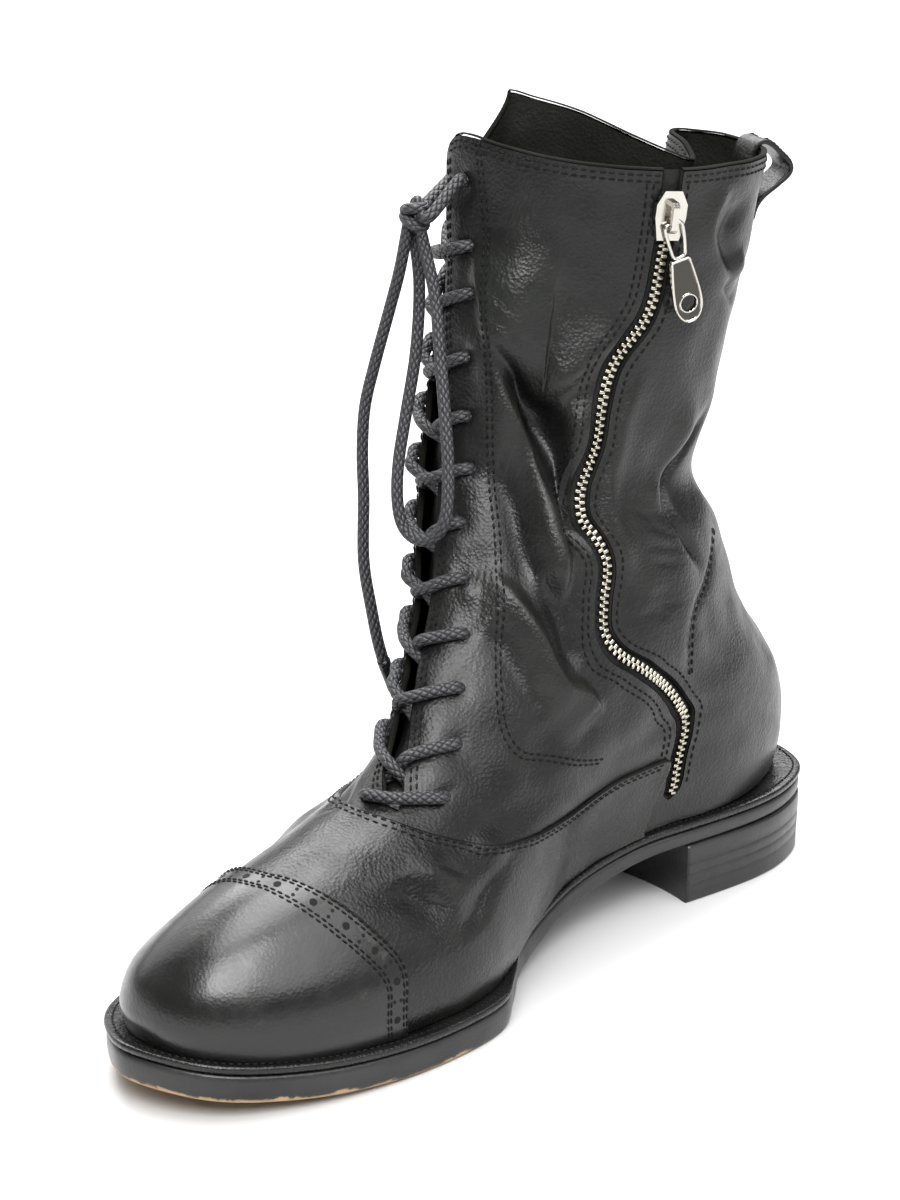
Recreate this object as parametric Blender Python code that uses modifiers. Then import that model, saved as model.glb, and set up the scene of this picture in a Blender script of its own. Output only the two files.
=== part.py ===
"""Right lace-up ankle boot with a zip on its inner side, standing empty on its sole.

Metres, +Z up. The toe points along -Y and the inner side of the foot is +X.
Sizes in the tables are millimetres and are scaled once, when a mesh is made.
A place on the upper is named by (row, turn): row runs from 0 at the sole to 14 at
the collar, turn from 0 at the front line to +1 at the back along the inner side
and to -1 at the back along the outer side.
"""

import math

import bmesh
import bpy
import numpy as np
from mathutils import Matrix

MM = 0.001
GAP = 0.3
WALL = 2.0
OVERLAY = 1.2
TOP_ROW = 14.0
CENTRING = (-0.76, 0.25, 0.0)

WELT_THICK = 3.0
FOREFOOT_SOLE = 9.4
WAIST_SOLE = 5.5
HEEL_RISE = 18.0
SOLE_LAYER = 13.0
TOE_SPRING = 9.0
SPRING_START_Y = -60.0
SPRING_RUN = 92.0
ARCH_START_Y = -30.0
ARCH_RUN = 105.0
ARCH_POWER = 1.4
INSOLE_THICK = 3.0

ZIP_HALF_SLOT = 3.5
ZIP_BOTTOM_ROW = 1.4
THROAT_BOTTOM_ROW = 6.15
LACE_DIA = 4.0
LACE_UP = 3.9
TOP_CROSS_ROW = 13.45
TOP_CROSS_UP = 11.0

# One row per section of the last and shaft, from the sole edge up to the collar.
SECTION_COLUMNS = (
    "front_y front_z back_y back_z in_ball in_waist in_heel out_ball out_waist out_heel "
    "nose nose_p rear rear_p twist shift sag ridge"
).split()
SECTIONS = (
    (-144, 20.9, 146.5, 31.4, 45.0, 22, 34, 44.0, 37, 34, .36, 2.25, .24, 2.1, 0, 0, 1.00, 5),
    (-147, 30, 149, 41, 47.0, 25, 35.5, 46.0, 39, 35.5, .36, 2.25, .24, 2.1, 0, 0, 1.00, 5),
    (-144, 41, 149.5, 49, 46.5, 28.5, 36.5, 44.5, 40, 36.5, .38, 2.25, .25, 2.1, 0, 0, 0.95, 5),
    (-133, 51, 149, 57, 43.0, 30.5, 37, 41.0, 40, 37, .42, 2.20, .27, 2.1, 0, 0, 0.85, 6),
    (-114, 59, 147, 64, 38.5, 33, 37, 37.0, 39, 37, .46, 2.20, .29, 2.1, 0, 0, 0.70, 8),
    (-90, 65, 144, 71, 34.5, 33, 37, 33.0, 38, 37, .50, 2.10, .31, 2.1, 0, 0, 0.52, 11),
    (-66, 72, 140, 78, 32.5, 34, 37, 31.5, 37, 37, .52, 2.10, .34, 2.1, 0, 0, 0.34, 13),
    (-48, 84, 136, 86, 32.5, 35, 37, 31.5, 36, 37, .54, 2.00, .38, 2.1, 1, -1, 0.18, 14),
    (-32, 100, 130, 97, 34.0, 37, 36, 33.0, 36, 36, .54, 2.00, .42, 2.1, 3, -2, 0.06, 12),
    (-17, 120, 123, 111, 35.5, 38, 36, 34.5, 36, 36, .54, 2.00, .45, 2.1, 6, -4, 0.00, 8),
    (-6, 142, 115, 130, 36.0, 38, 36, 35.0, 36, 36, .54, 2.00, .46, 2.1, 9, -7, 0.00, 4),
    (3, 165, 108, 151, 36.0, 37, 36, 35.0, 36, 35, .54, 2.00, .46, 2.1, 13, -10, 0.00, 1),
    (11, 192, 111, 180, 37.0, 38, 37, 36.0, 37, 36, .54, 2.00, .46, 2.1, 18, -10, 0.00, 0),
    (15, 228, 118, 218, 39.0, 40, 39, 38.0, 39, 38, .54, 2.00, .46, 2.1, 24, -8, 0.00, 0),
    (17, 264, 124, 256, 41.0, 42, 41, 40.0, 41, 40, .54, 2.00, .46, 2.1, 28, -5, 0.00, 0),
)

# Large folds of the slouched shaft: place, reach and push along the skin's normal.
FOLD_COLUMNS = "row turn row_reach turn_reach push".split()
FOLDS = (
    (3.9, -0.17, 1.5, 0.120, -5.0),
    (2.3, -0.08, 2.0, 0.170, -4.5),
    (11.7, 0.27, 0.9, 0.055, -4.5),
    (12.7, 0.22, 0.7, 0.070, 3.0),
    (10.1, 0.30, 0.9, 0.050, 2.5),
    (10.9, 0.62, 0.5, 0.080, -3.5),
    (8.6, 0.92, 1.9, 0.300, -4.5),
    (10.95, 0.92, 0.5, 0.280, -5.0),
    (11.0, -0.45, 0.7, 0.120, -5.0),
    (12.3, -0.35, 0.7, 0.120, 3.0),
)

# How far the slack outer wall is tucked in at the collar; it fades out down the shaft.
TUCK_COLUMNS = "turn across along up".split()
TUCK = (
    (-0.88, 0.0, 0.0, 0.0), (-0.80, 1.0, -4.0, 0.0), (-0.72, 13.0, -11.0, 0.0), (-0.64, 37.0, -15.0, -2.0),
    (-0.58, 52.0, -15.0, -7.0), (-0.53, 53.0, -14.5, -6.0), (-0.45, 44.0, -7.0, -4.0),
    (-0.35, 29.6, 3.3, -1.0), (-0.25, 17.4, 10.0, 0.0), (-0.185, 9.0, 13.6, 1.0), (-0.12, 4.5, 8.0, 0.5),
    (-0.04, 0.0, 0.0, 0.0),
)
TUCK_START_ROW = 11.9

# Rise of the collar edge above the top section, round the turn.
COLLAR_COLUMNS = "turn rise".split()
COLLAR = ((-1.0, 0.0), (-0.7, 2.0), (-0.4, 7.0), (-0.19, 11.0), (-0.1, 9.0),
          (-0.05, 2.0), (0.0, -1.0), (0.06, 0.5), (0.3, 0.0), (0.53, -1.0), (0.75, 0.0), (1.0, 0.0))

# Edges of the laced slit in front, and the line of holes beside its inner edge.
THROAT_COLUMNS = "row inner_edge outer_edge".split()
THROAT = (
    (6.15, 0.055, 0.055), (6.30, 0.052, 0.028), (6.60, 0.040, 0.010), (6.85, 0.030, -0.009),
    (7.5, 0.012, -0.037), (8.5, 0.000, -0.061), (9.5, 0.015, -0.058), (10.5, 0.030, -0.066),
    (11.5, 0.030, -0.078), (12.5, 0.010, -0.100), (13.5, 0.000, -0.128), (14.0, -0.010, -0.185),
)
HOLE_COLUMNS = "row turn".split()
HOLES = (
    (6.35, 0.110), (7.35, 0.093), (8.20, 0.080), (8.90, 0.083), (9.60, 0.083), (10.30, 0.083),
    (11.00, 0.110), (11.60, 0.095), (12.20, 0.090), (12.75, 0.100), (13.15, 0.090), (13.65, 0.070),
)

# The zip's line, wavy from the slouch, from its foot by the heel up to the collar.
ZIP_COLUMNS = "row turn".split()
ZIP = (
    (0.0, 0.700), (1.4, 0.700), (2.0, 0.697), (3.5, 0.677), (5.0, 0.640), (6.0, 0.593), (7.0, 0.537),
    (7.8, 0.465), (8.35, 0.397), (8.75, 0.370), (9.2, 0.374), (9.75, 0.394), (10.15, 0.380),
    (10.5, 0.357), (10.9, 0.368), (11.4, 0.405), (11.9, 0.416), (12.3, 0.440), (12.7, 0.510),
    (13.2, 0.532), (14.0, 0.537),
)

# Rows of the upper's mesh. They include the foot of the slit and of the zip.
UPPER_ROWS = (
    0.0, 0.14, 0.7, 1.4, 2.1, 2.8, 3.5, 4.2, 4.9, 5.5, 6.15, 6.6, 7.1, 7.7, 8.35, 8.8, 9.3, 9.75,
    10.15, 10.55, 10.95, 11.4, 11.9, 12.35, 12.75, 13.3, 14.0,
)
SLIT_STEPS = (0.0, 6.0, 12.0, 18.0, 25.0)
SLIT_STEP_RUN = 150.0
FRONT_COLUMNS = 7
BACK_COLUMNS = 6
OUTER_COLUMNS = 13

# Sole outline, closed, from the toe tip back along the inner side and round the heel.
OUTLINE_COLUMNS = "x y".split()
OUTLINE = (
    (4, -152), (28, -141), (43, -116), (51, -87), (53.5, -58), (51, -38), (42, -24), (31.5, -8), (25.5, 20),
    (27.5, 50), (33, 75), (37, 105), (35, 125), (27.5, 141), (14, 149.5), (0, 151.5), (-14, 149.5), (-27.5, 141),
    (-35, 125), (-37, 105), (-37, 75), (-39, 45), (-44, 15), (-49.5, -15), (-52, -42), (-49.5, -72),
    (-41.5, -105), (-28.5, -133), (-13, -147.5),
)
HEEL_POINT = 15
OUTLINE_STEPS = 30
HEEL_BREAST_Y = 72.0
HEEL_BREAST_BOW = 5.0

# Edge of the vamp over the quarters: height of the edge on either side of the foot.
VAMP_COLUMNS = "y inner_z outer_z".split()
VAMP = (
    (-190, 130, 130), (-76, 130, 130), (-69, 77, 77), (-60, 71.5, 71.5), (-50, 66, 67), (-32, 58.5, 63),
    (-12, 56.3, 64), (9, 56.4, 68), (24, 57.5, 66), (41, 58.7, 57), (56, 59, 42),
)
CAP_COLUMNS = "x y".split()
CAP = (
    (-90, -50), (-50, -71), (-38, -82), (-24, -91), (-8, -97.5), (10, -100), (25, -95), (36, -87.5),
    (46, -77.5), (52, -71), (90, -50),
)

# Free laces. Where a lace leaves the knot: (across, up, out) from the knot's centre.
# Then each row of the loop and of the end is one chosen point: (x, y, z).
KNOT = {"row": 13.40, "turn": 0.030, "height": 12.7, "across": 15.0, "deep": 9.0, "tall": 12.0}
KNOT_PORTS = {
    "loop_out": (-3.4, -6.2, -1.6), "loop_back": (3.4, -6.2, -1.2), "end": (-1.0, -6.2, 2.2),
    "lacing_in": (8.3, -0.6, -0.8), "lacing_out": (-8.2, -1.6, -0.8),
}
LOOP = (
    (-29.7, 8.7, 220.0), (-25.1, 2.1, 200.4), (-23.5, -4.4, 181.4), (-21.2, -10.4, 167.0), (-18.1, -14.3, 156.1),
    (-11.4, -15.1, 146.5), (-4.4, -14.4, 145.3), (1.0, -12.4, 152.7), (-0.1, -9.3, 169.0), (-5.7, -4.9, 186.1),
    (-12.3, -0.1, 203.4), (-18.2, 4.1, 219.4),
)
END = (
    (-31.9, 4.9, 226.7), (-37.9, 2.9, 211.1), (-40.8, -0.9, 194.5), (-42.8, -3.9, 180.2), (-42.2, -6.1, 165.6),
    (-40.0, -8.1, 150.5), (-37.4, -11.2, 130.9), (-33.7, -11.9, 115.5), (-30.7, -10.7, 99.8), (-28.3, -6.0, 84.2),
)

# Zip slider and pull tab, in the slider's own frame: across, down the zip, out.
SLIDER_ROW = 13.62
SLIDER = {"across": 10.5, "long": 16.0, "low": 0.95, "high": 2.95}
ARCH_PROFILE = (
    (-5.0, 2.4), (-5.0, 5.5), (-3.6, 6.9), (3.6, 6.9), (5.0, 5.5), (5.0, 2.4),
    (3.4, 2.4), (3.4, 5.25), (-3.4, 5.25), (-3.4, 2.4),
)
ARCH_HALF = 1.1
PULL_PIN_DOWN = 2.2
PULL_PIN_OUT = 4.1
PULL_SWING = -19.0
LINK_HALF = 3.1
LINK_LONG = 11.5
LINK_RADIUS = 0.65
TAB_COLUMNS = "down half_width".split()
TAB = ((9.0, 3.2), (11.0, 3.6), (13.0, 3.6), (15.0, 4.2), (24.0, 5.0), (28.5, 5.0), (32.0, 3.9), (34.2, 2.0))
TAB_HALF_THICK = 0.8
TAB_HOLE_DOWN = 27.5
TAB_HOLE_RADIUS = 2.7

# Leather pull loop at the back of the collar: distance out of the skin and height.
PULL_LOOP_COLUMNS = "out up".split()
PULL_LOOP = (
    (1.3, -24.0), (1.6, -20.0), (4.0, -16.5), (9.0, -12.8), (12.6, -8.2), (11.4, -3.4), (6.0, 0.6),
    (0.5, 2.1), (-3.2, 1.2), (-4.1, -3.0), (-4.1, -9.0),
)
PULL_LOOP_WIDE = 13.0
PULL_LOOP_THICK = 1.6

LEATHER = (0.022, 0.023, 0.022, 1.0)
COLOURS = {
    "upper": LEATHER, "vamp": LEATHER, "toe_cap": LEATHER, "tongue": LEATHER, "pull_loop": LEATHER,
    "outsole": (0.03, 0.03, 0.03, 1.0), "welt": (0.02, 0.02, 0.02, 1.0), "heel": (0.02, 0.02, 0.02, 1.0),
    "insole": (0.10, 0.08, 0.06, 1.0), "zip_chain": (0.55, 0.52, 0.45, 1.0),
    "zip_slider": (0.65, 0.62, 0.55, 1.0), "zip_pull": (0.65, 0.62, 0.55, 1.0),
}
LACE_COLOUR = (0.03, 0.03, 0.035, 1.0)


def smooth(value):
    """Eased step from 0 to 1."""
    value = np.clip(value, 0.0, 1.0)
    return value * value * (3.0 - 2.0 * value)


def table(rows, at, column):
    """Value of one column of a table at a place along its first column."""
    data = np.array(rows, float)
    return float(np.interp(at, data[:, 0], data[:, column]))


def catmull(points, at):
    """Smooth curve through equally spaced points; at counts from the first."""
    points = np.asarray(points, float)
    last = len(points) - 1
    at = min(max(at, 0.0), float(last))
    start = int(min(math.floor(at), last - 1))
    t = at - start
    b = points[start]
    c = points[start + 1]
    a = points[start - 1] if start > 0 else 2 * b - c
    d = points[start + 2] if start + 2 <= last else 2 * c - b
    return 0.5 * (2 * b + (c - a) * t + (2 * a - 5 * b + 4 * c - d) * t * t + (3 * b - a - 3 * c + d) * t ** 3)


def flow(rows, at):
    """All the other columns of a table, eased between its rows; the end rows hold beyond them."""
    data = np.array(rows, float)
    places = data[:, 0]
    if at <= places[0] or at >= places[-1]:
        return data[0 if at <= places[0] else -1, 1:]
    k = int(np.searchsorted(places, at, side="right")) - 1
    slopes = np.zeros_like(data[:, 1:])
    slopes[1:-1] = (data[2:, 1:] - data[:-2, 1:]) / (places[2:] - places[:-2])[:, None]
    gap = places[k + 1] - places[k]
    t = (at - places[k]) / gap
    low = data[k, 1:] * (1 + 2 * t) * (1 - t) ** 2 + slopes[k] * gap * t * (1 - t) ** 2
    return low + data[k + 1, 1:] * t * t * (3 - 2 * t) + slopes[k + 1] * gap * t * t * (t - 1)


def spring(y):
    """Rise of the sole towards the toe tip."""
    return TOE_SPRING * np.clip((SPRING_START_Y - np.asarray(y, float)) / SPRING_RUN, 0.0, None) ** 2


def arch(y):
    """Share of the heel's rise reached at y."""
    share = np.clip((np.asarray(y, float) - ARCH_START_Y) / ARCH_RUN, 0.0, 1.0)
    return np.sin(share * math.pi / 2) ** ARCH_POWER


def feather(y):
    """Height of the welt's top face, where the upper stands."""
    return SOLE_LAYER + spring(y) + HEEL_RISE * arch(y)


def sole_top(y):
    """Top face of the outsole, under the welt."""
    return feather(y) - WELT_THICK - 2 * GAP


def sole_bottom(y):
    """Bottom face of the outsole."""
    thick = FOREFOOT_SOLE + (WAIST_SOLE - FOREFOOT_SOLE) * arch(y)
    return sole_top(y) - thick


def half_width(s, ball, waist, heel, nose, nose_p, rear, rear_p):
    """Half width of a section along its length s, closed and rounded at both ends."""
    stations = np.array([0.0, 0.30, 0.58, 0.85, 1.0])
    widths = np.array([ball, ball, waist, heel, heel])
    i = np.clip(np.searchsorted(stations, s, side="right") - 1, 0, 3)
    t = smooth((s - stations[i]) / (stations[i + 1] - stations[i]))
    wide = widths[i] * (1 - t) + widths[i + 1] * t
    front = (1 - np.clip(1 - s / nose, 0, None) ** nose_p) ** (1 / nose_p)
    back = (1 - np.clip(1 - (1 - s) / rear, 0, None) ** rear_p) ** (1 / rear_p)
    return wide * front * back


RINGS = {}


def ring(row):
    """The two halves of one section, each as (share of its length, points), and half length."""
    key = round(float(row), 4)
    if key in RINGS:
        return RINGS[key]
    c = dict(zip(SECTION_COLUMNS, catmull(SECTIONS, key)))
    s = (1 - np.cos(np.linspace(0, math.pi, 161))) / 2
    s[0] = 0.0
    s[-1] = 1.0
    y = c["front_y"] + (c["back_y"] - c["front_y"]) * s
    flat = c["front_z"] + (c["back_z"] - c["front_z"]) * s
    low = feather(y) + (c["front_z"] - feather(c["front_y"])) * (1 - s) + (c["back_z"] - feather(c["back_y"])) * s
    z = flat * (1 - c["sag"]) + low * c["sag"]
    ridge = c["ridge"] * (1 - s) ** 2
    ends = (c["nose"], c["nose_p"], c["rear"], c["rear_p"])
    inner = ridge + half_width(s, c["in_ball"], c["in_waist"], c["in_heel"], *ends)
    outer = ridge - half_width(s, c["out_ball"], c["out_waist"], c["out_heel"], *ends)
    mid = (c["front_y"] + c["back_y"]) / 2
    cos = math.cos(math.radians(c["twist"]))
    sin = math.sin(math.radians(c["twist"]))
    halves = []
    for x in (inner, outer):
        points = np.stack([x * cos + (y - mid) * sin + c["shift"], mid - x * sin + (y - mid) * cos, z], axis=1)
        run = np.concatenate([[0.0], np.cumsum(np.linalg.norm(np.diff(points, axis=0), axis=1))])
        halves.append((run / run[-1], points, run[-1]))
    RINGS[key] = halves
    return halves


def half_run(row):
    """Length of the inner half of a section."""
    return ring(row)[0][2]


def base(row, turn):
    """Point of the plain form, before folds."""
    turn = (turn + 1.0) % 2.0 - 1.0
    share, points, _ = ring(row)[0 if turn >= 0 else 1]
    return np.array([np.interp(abs(turn), share, points[:, k]) for k in range(3)])


def facing(function, row, turn):
    """Outward normal of a surface function at a place."""
    low = max(row - 0.06, 0.0)
    high = min(row + 0.06, TOP_ROW)
    along = function(row, turn + 0.012) - function(row, turn - 0.012)
    up = function(high, turn) - function(low, turn)
    out = np.cross(along, up)
    return out / np.linalg.norm(out)


def skin(row, turn):
    """Point of the upper's outer face with its large folds and collar edge."""
    turn = (turn + 1.0) % 2.0 - 1.0
    point = base(row, turn)
    push = 0.0
    for fold in FOLDS:
        f = dict(zip(FOLD_COLUMNS, fold))
        aside = (turn - f["turn"] + 1.0) % 2.0 - 1.0
        away = ((row - f["row"]) / f["row_reach"]) ** 2 + (aside / f["turn_reach"]) ** 2
        if away < 9.0:
            push += f["push"] * math.exp(-away)
    if push:
        point = point + facing(base, row, turn) * push
    rise = table(COLLAR, turn, 1) * float(smooth((row - 12.4) / 1.6))
    tuck = flow(TUCK, turn) * float(smooth((row - TUCK_START_ROW) / (TOP_ROW - TUCK_START_ROW)))
    return point + tuck + np.array([0.0, 0.0, rise])


def lifted(row, turn, height):
    """Point at a height above the upper's outer face."""
    return skin(row, turn) + facing(skin, row, turn) * height


def throat(row):
    """Turns of the slit's inner and outer edges; they meet below its foot."""
    if row >= THROAT_BOTTOM_ROW:
        return table(THROAT, row, 1), table(THROAT, row, 2)
    centre = 0.055 * row / THROAT_BOTTOM_ROW
    return centre, centre


def zip_frame(row):
    """Centre of the zip and its across, down and out directions."""
    centre = skin(row, table(ZIP, row, 1))
    low = max(row - 0.12, 0.0)
    high = min(row + 0.12, TOP_ROW)
    down = skin(low, table(ZIP, low, 1)) - skin(high, table(ZIP, high, 1))
    down = down / np.linalg.norm(down)
    out = facing(skin, row, table(ZIP, row, 1))
    across = np.cross(out, down)
    across = across / np.linalg.norm(across)
    out = np.cross(down, across)
    return centre, across, down, out


def upper_turns(row):
    """Turns of the upper's mesh columns, from the slit's inner edge round to its outer edge."""
    inner, outer = throat(row)
    run = half_run(row)
    scale = run / SLIT_STEP_RUN
    steps = [step * scale / run for step in SLIT_STEPS]
    _, across, down, _ = zip_frame(row)
    mid = table(ZIP, row, 1)
    along = skin(row, mid + 0.01) - skin(row, mid - 0.01)
    lean = max(abs(float(np.dot(across, along / np.linalg.norm(along)))), 0.5)
    slot = ZIP_HALF_SLOT / (run * lean)
    turns = [inner + step for step in steps]
    start = turns[-1]
    stop = mid - slot
    turns += [start + (stop - start) * (k + 1) / (FRONT_COLUMNS + 1) for k in range(FRONT_COLUMNS)]
    turns += [mid - slot, mid + slot]
    start = mid + slot
    turns += [start + (1.0 - start) * (k + 1) / (BACK_COLUMNS + 1) for k in range(BACK_COLUMNS + 1)]
    stop = 2.0 + outer - steps[-1]
    turns += [1.0 + (stop - 1.0) * (k + 1) / (OUTER_COLUMNS + 1) for k in range(OUTER_COLUMNS)]
    turns += [2.0 + outer - step for step in reversed(steps)]
    return turns


SLOT_COLUMN = len(SLIT_STEPS) + FRONT_COLUMNS


def upper_grid():
    """Points and outward normals of the upper's mesh, row by row."""
    points = []
    normals = []
    for row in UPPER_ROWS:
        turns = upper_turns(row)
        centre, across, _, _ = zip_frame(row)
        line = [skin(row, turn) for turn in turns]
        if row >= ZIP_BOTTOM_ROW:
            sign = 1.0 if np.dot(line[SLOT_COLUMN + 1] - line[SLOT_COLUMN], across) > 0 else -1.0
            line[SLOT_COLUMN] = centre - across * ZIP_HALF_SLOT * sign
            line[SLOT_COLUMN + 1] = centre + across * ZIP_HALF_SLOT * sign
        points.append(line)
        normals.append([facing(skin, row, turn) for turn in turns])
    return np.array(points), np.array(normals)


def material_for(name):
    """A plain Principled material of one colour."""
    made = bpy.data.materials.new(name)
    made.use_nodes = True
    shader = next(node for node in made.node_tree.nodes if node.type == "BSDF_PRINCIPLED")
    shader.inputs["Base Color"].default_value = COLOURS.get(name, LACE_COLOUR)
    shader.inputs["Roughness"].default_value = 0.3 if name.startswith("zip") else 0.5
    shader.inputs["Metallic"].default_value = 1.0 if name.startswith("zip") else 0.0
    return made


def clear_scene():
    """Remove what a new file holds."""
    for item in list(bpy.data.objects):
        bpy.data.objects.remove(item, do_unlink=True)


def new_group(name, hidden):
    """A collection under the scene."""
    group = bpy.data.collections.new(name)
    bpy.context.scene.collection.children.link(group)
    group.hide_render = hidden
    return group


def make_mesh(group, name, points, faces):
    """A mesh object from points in millimetres, facing out."""
    data = bpy.data.meshes.new(name)
    data.from_pydata([tuple(float(v) * MM for v in point) for point in points], [], faces)
    shape = bmesh.new()
    shape.from_mesh(data)
    bmesh.ops.remove_doubles(shape, verts=shape.verts, dist=0.00002)
    bmesh.ops.recalc_face_normals(shape, faces=shape.faces)
    shape.to_mesh(data)
    shape.free()
    item = bpy.data.objects.new(name, data)
    group.objects.link(item)
    return item


def finish(item):
    """Give a part its own material."""
    item.data.materials.clear()
    item.data.materials.append(material_for(item.name))
    return item


def apply_modifier(item, kind, **settings):
    """Add one modifier, apply it and keep the result as the object's mesh."""
    modifier = item.modifiers.new(kind.title(), kind)
    for key, value in settings.items():
        setattr(modifier, key, value)
    graph = bpy.context.evaluated_depsgraph_get()
    graph.update()
    made = bpy.data.meshes.new_from_object(item.evaluated_get(graph))
    item.modifiers.clear()
    item.data = made
    return item


def join_with(item, other, operation):
    """Boolean of two closed meshes."""
    return apply_modifier(item, "BOOLEAN", object=other, operation=operation, solver="EXACT")


def sheet_solid(group, name, points, faces, thick, outward_at):
    """A wall of even thickness grown from an open sheet; outward_at tests one face's direction."""
    data = bpy.data.meshes.new(name)
    data.from_pydata([tuple(float(v) * MM for v in point) for point in points], [], faces)
    shape = bmesh.new()
    shape.from_mesh(data)
    bmesh.ops.remove_doubles(shape, verts=shape.verts, dist=0.00002)
    loose = [vert for vert in shape.verts if not vert.link_faces]
    bmesh.ops.delete(shape, geom=loose, context="VERTS")
    bmesh.ops.recalc_face_normals(shape, faces=shape.faces)
    shape.faces.ensure_lookup_table()
    probe, away = outward_at
    nearest = min(shape.faces, key=lambda face: (face.calc_center_median() / MM - probe).length)
    if nearest.normal.dot(away) < 0:
        bmesh.ops.reverse_faces(shape, faces=shape.faces)
    shape.to_mesh(data)
    shape.free()
    item = bpy.data.objects.new(name, data)
    group.objects.link(item)
    apply_modifier(
        item, "SOLIDIFY", thickness=abs(thick) * MM, offset=1.0 if thick > 0 else -1.0,
        use_even_offset=True, use_rim=True,
    )
    return item


def grid_faces(rows, columns, skip):
    """Triangles of a grid numbered row by row, leaving out the cells that skip names."""
    faces = []
    for i in range(rows - 1):
        for j in range(columns - 1):
            if not skip(i, j):
                a = i * columns + j
                faces.append((a, a + 1, a + columns + 1))
                faces.append((a, a + columns + 1, a + columns))
    return faces


def upper_part(group, points, normals):
    """The upper as one hollow wall, open at the collar, slit, zip and underneath."""
    rows, columns = points.shape[:2]
    foot = UPPER_ROWS.index(ZIP_BOTTOM_ROW)
    faces = grid_faces(rows, columns, lambda i, j: j == SLOT_COLUMN and i >= foot)
    probe = points[3, SLOT_COLUMN + 4]
    away = normals[3, SLOT_COLUMN + 4]
    item = sheet_solid(
        group, "upper", points.reshape(-1, 3), faces, -WALL,
        (vector(probe), vector(away)),
    )
    return finish(item)


def vector(values):
    """A point as the mesh tools take it."""
    return Matrix.Translation([float(v) for v in values]).to_translation()


def overlay_part(group, cutters, name, points, normals, low, rows_used, cutter):
    """A panel laid over the upper: its own faces lifted, then cut to the panel's edge."""
    first, last = rows_used
    part = points[first:last + 1] + normals[first:last + 1] * low
    rows, columns = part.shape[:2]
    faces = grid_faces(rows, columns, lambda i, j: False)
    item = sheet_solid(
        group, name, part.reshape(-1, 3), faces, OVERLAY,
        (vector(part[2, SLOT_COLUMN + 4]), vector(normals[first + 2, SLOT_COLUMN + 4])),
    )
    join_with(item, cutter, "INTERSECT")
    return finish(item)


def vamp_cutter(cutters):
    """Block under the vamp's edge line, with its own line on either side."""
    lines = []
    for x, column in ((95.0, 1), (22.0, 1), (4.0, 2), (-95.0, 2)):
        line = [(x, row[0], row[column]) for row in VAMP]
        line.append((x, VAMP[-1][0], -20.0))
        line.append((x, VAMP[0][0], -20.0))
        lines.append(line)
    count = len(lines[0])
    points = [point for line in lines for point in line]
    faces = []
    for i in range(len(lines) - 1):
        for j in range(count):
            k = (j + 1) % count
            faces.append((i * count + j, i * count + k, (i + 1) * count + k, (i + 1) * count + j))
    faces.append(tuple(range(count)))
    faces.append(tuple((len(lines) - 1) * count + j for j in range(count)))
    return make_mesh(cutters, "vamp_cutter", points, faces)


def cap_cutter(cutters):
    """Block in front of the toe cap's seam."""
    plan = [(x, y) for x, y in CAP] + [(90.0, -200.0), (-90.0, -200.0)]
    points = [(x, y, -20.0) for x, y in plan] + [(x, y, 150.0) for x, y in plan]
    count = len(plan)
    faces = [tuple(range(count)), tuple(range(count, 2 * count))]
    for j in range(count):
        k = (j + 1) % count
        faces.append((j, k, k + count, j + count))
    return make_mesh(cutters, "cap_cutter", points, faces)


def tongue_part(group):
    """The tongue behind the slit, just inside the upper's wall."""
    points = []
    for row in (5.5,) + tuple(r for r in UPPER_ROWS if 6.0 < r < 13.4):
        inner, outer = throat(max(row, THROAT_BOTTOM_ROW))
        run = half_run(row)
        least = 2.5 / run
        middle = (inner + outer) / 2
        inner = max(inner, middle + least)
        outer = min(outer, middle - least)
        turns = [outer - 18.0 / 150, outer - 12.0 / 150, outer - 6.0 / 150, outer, middle, inner]
        turns += [inner + 6.0 / 150, inner + 12.0 / 150, inner + 18.0 / 150]
        points.append([lifted(row, turn, -(WALL + 0.45)) for turn in turns])
    points = np.array(points)
    rows, columns = points.shape[:2]
    faces = grid_faces(rows, columns, lambda i, j: False)
    item = sheet_solid(
        group, "tongue", points.reshape(-1, 3), faces, -1.8,
        (vector(points[8, 4]), vector(facing(skin, 9.2, -0.02))),
    )
    return finish(item)


def outline_ring(inset):
    """The sole's outline set in by a distance, from the toe down the inner side and back up."""
    closed = list(OUTLINE)
    inner = closed[: HEEL_POINT + 1]
    outer = closed[HEEL_POINT:] + closed[:1]
    toe = closed[0][1]
    heel = closed[HEEL_POINT][1]
    share = (1 - np.cos(np.linspace(0.0, math.pi, OUTLINE_STEPS + 1))) / 2
    want = toe + (heel - toe) * share
    halves = []
    for side, before, after in ((inner, closed[-1], closed[HEEL_POINT + 1]), (outer, closed[HEEL_POINT - 1], closed[1])):
        guide = np.array([before] + side + [after], float)
        fine = np.array([catmull(guide, 1 + (len(side) - 1) * k / 400) for k in range(401)])
        fine = fine[np.argsort(fine[:, 1])]
        halves.append(np.stack([np.interp(want, fine[:, 1], fine[:, 0]), want], axis=1))
    loop = np.concatenate([halves[0], halves[1][::-1][1:-1]])
    ahead = np.roll(loop, -1, axis=0) - np.roll(loop, 1, axis=0)
    side = np.stack([-ahead[:, 1], ahead[:, 0]], axis=1)
    side = side / np.linalg.norm(side, axis=1, keepdims=True)
    return loop + side * inset


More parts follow.
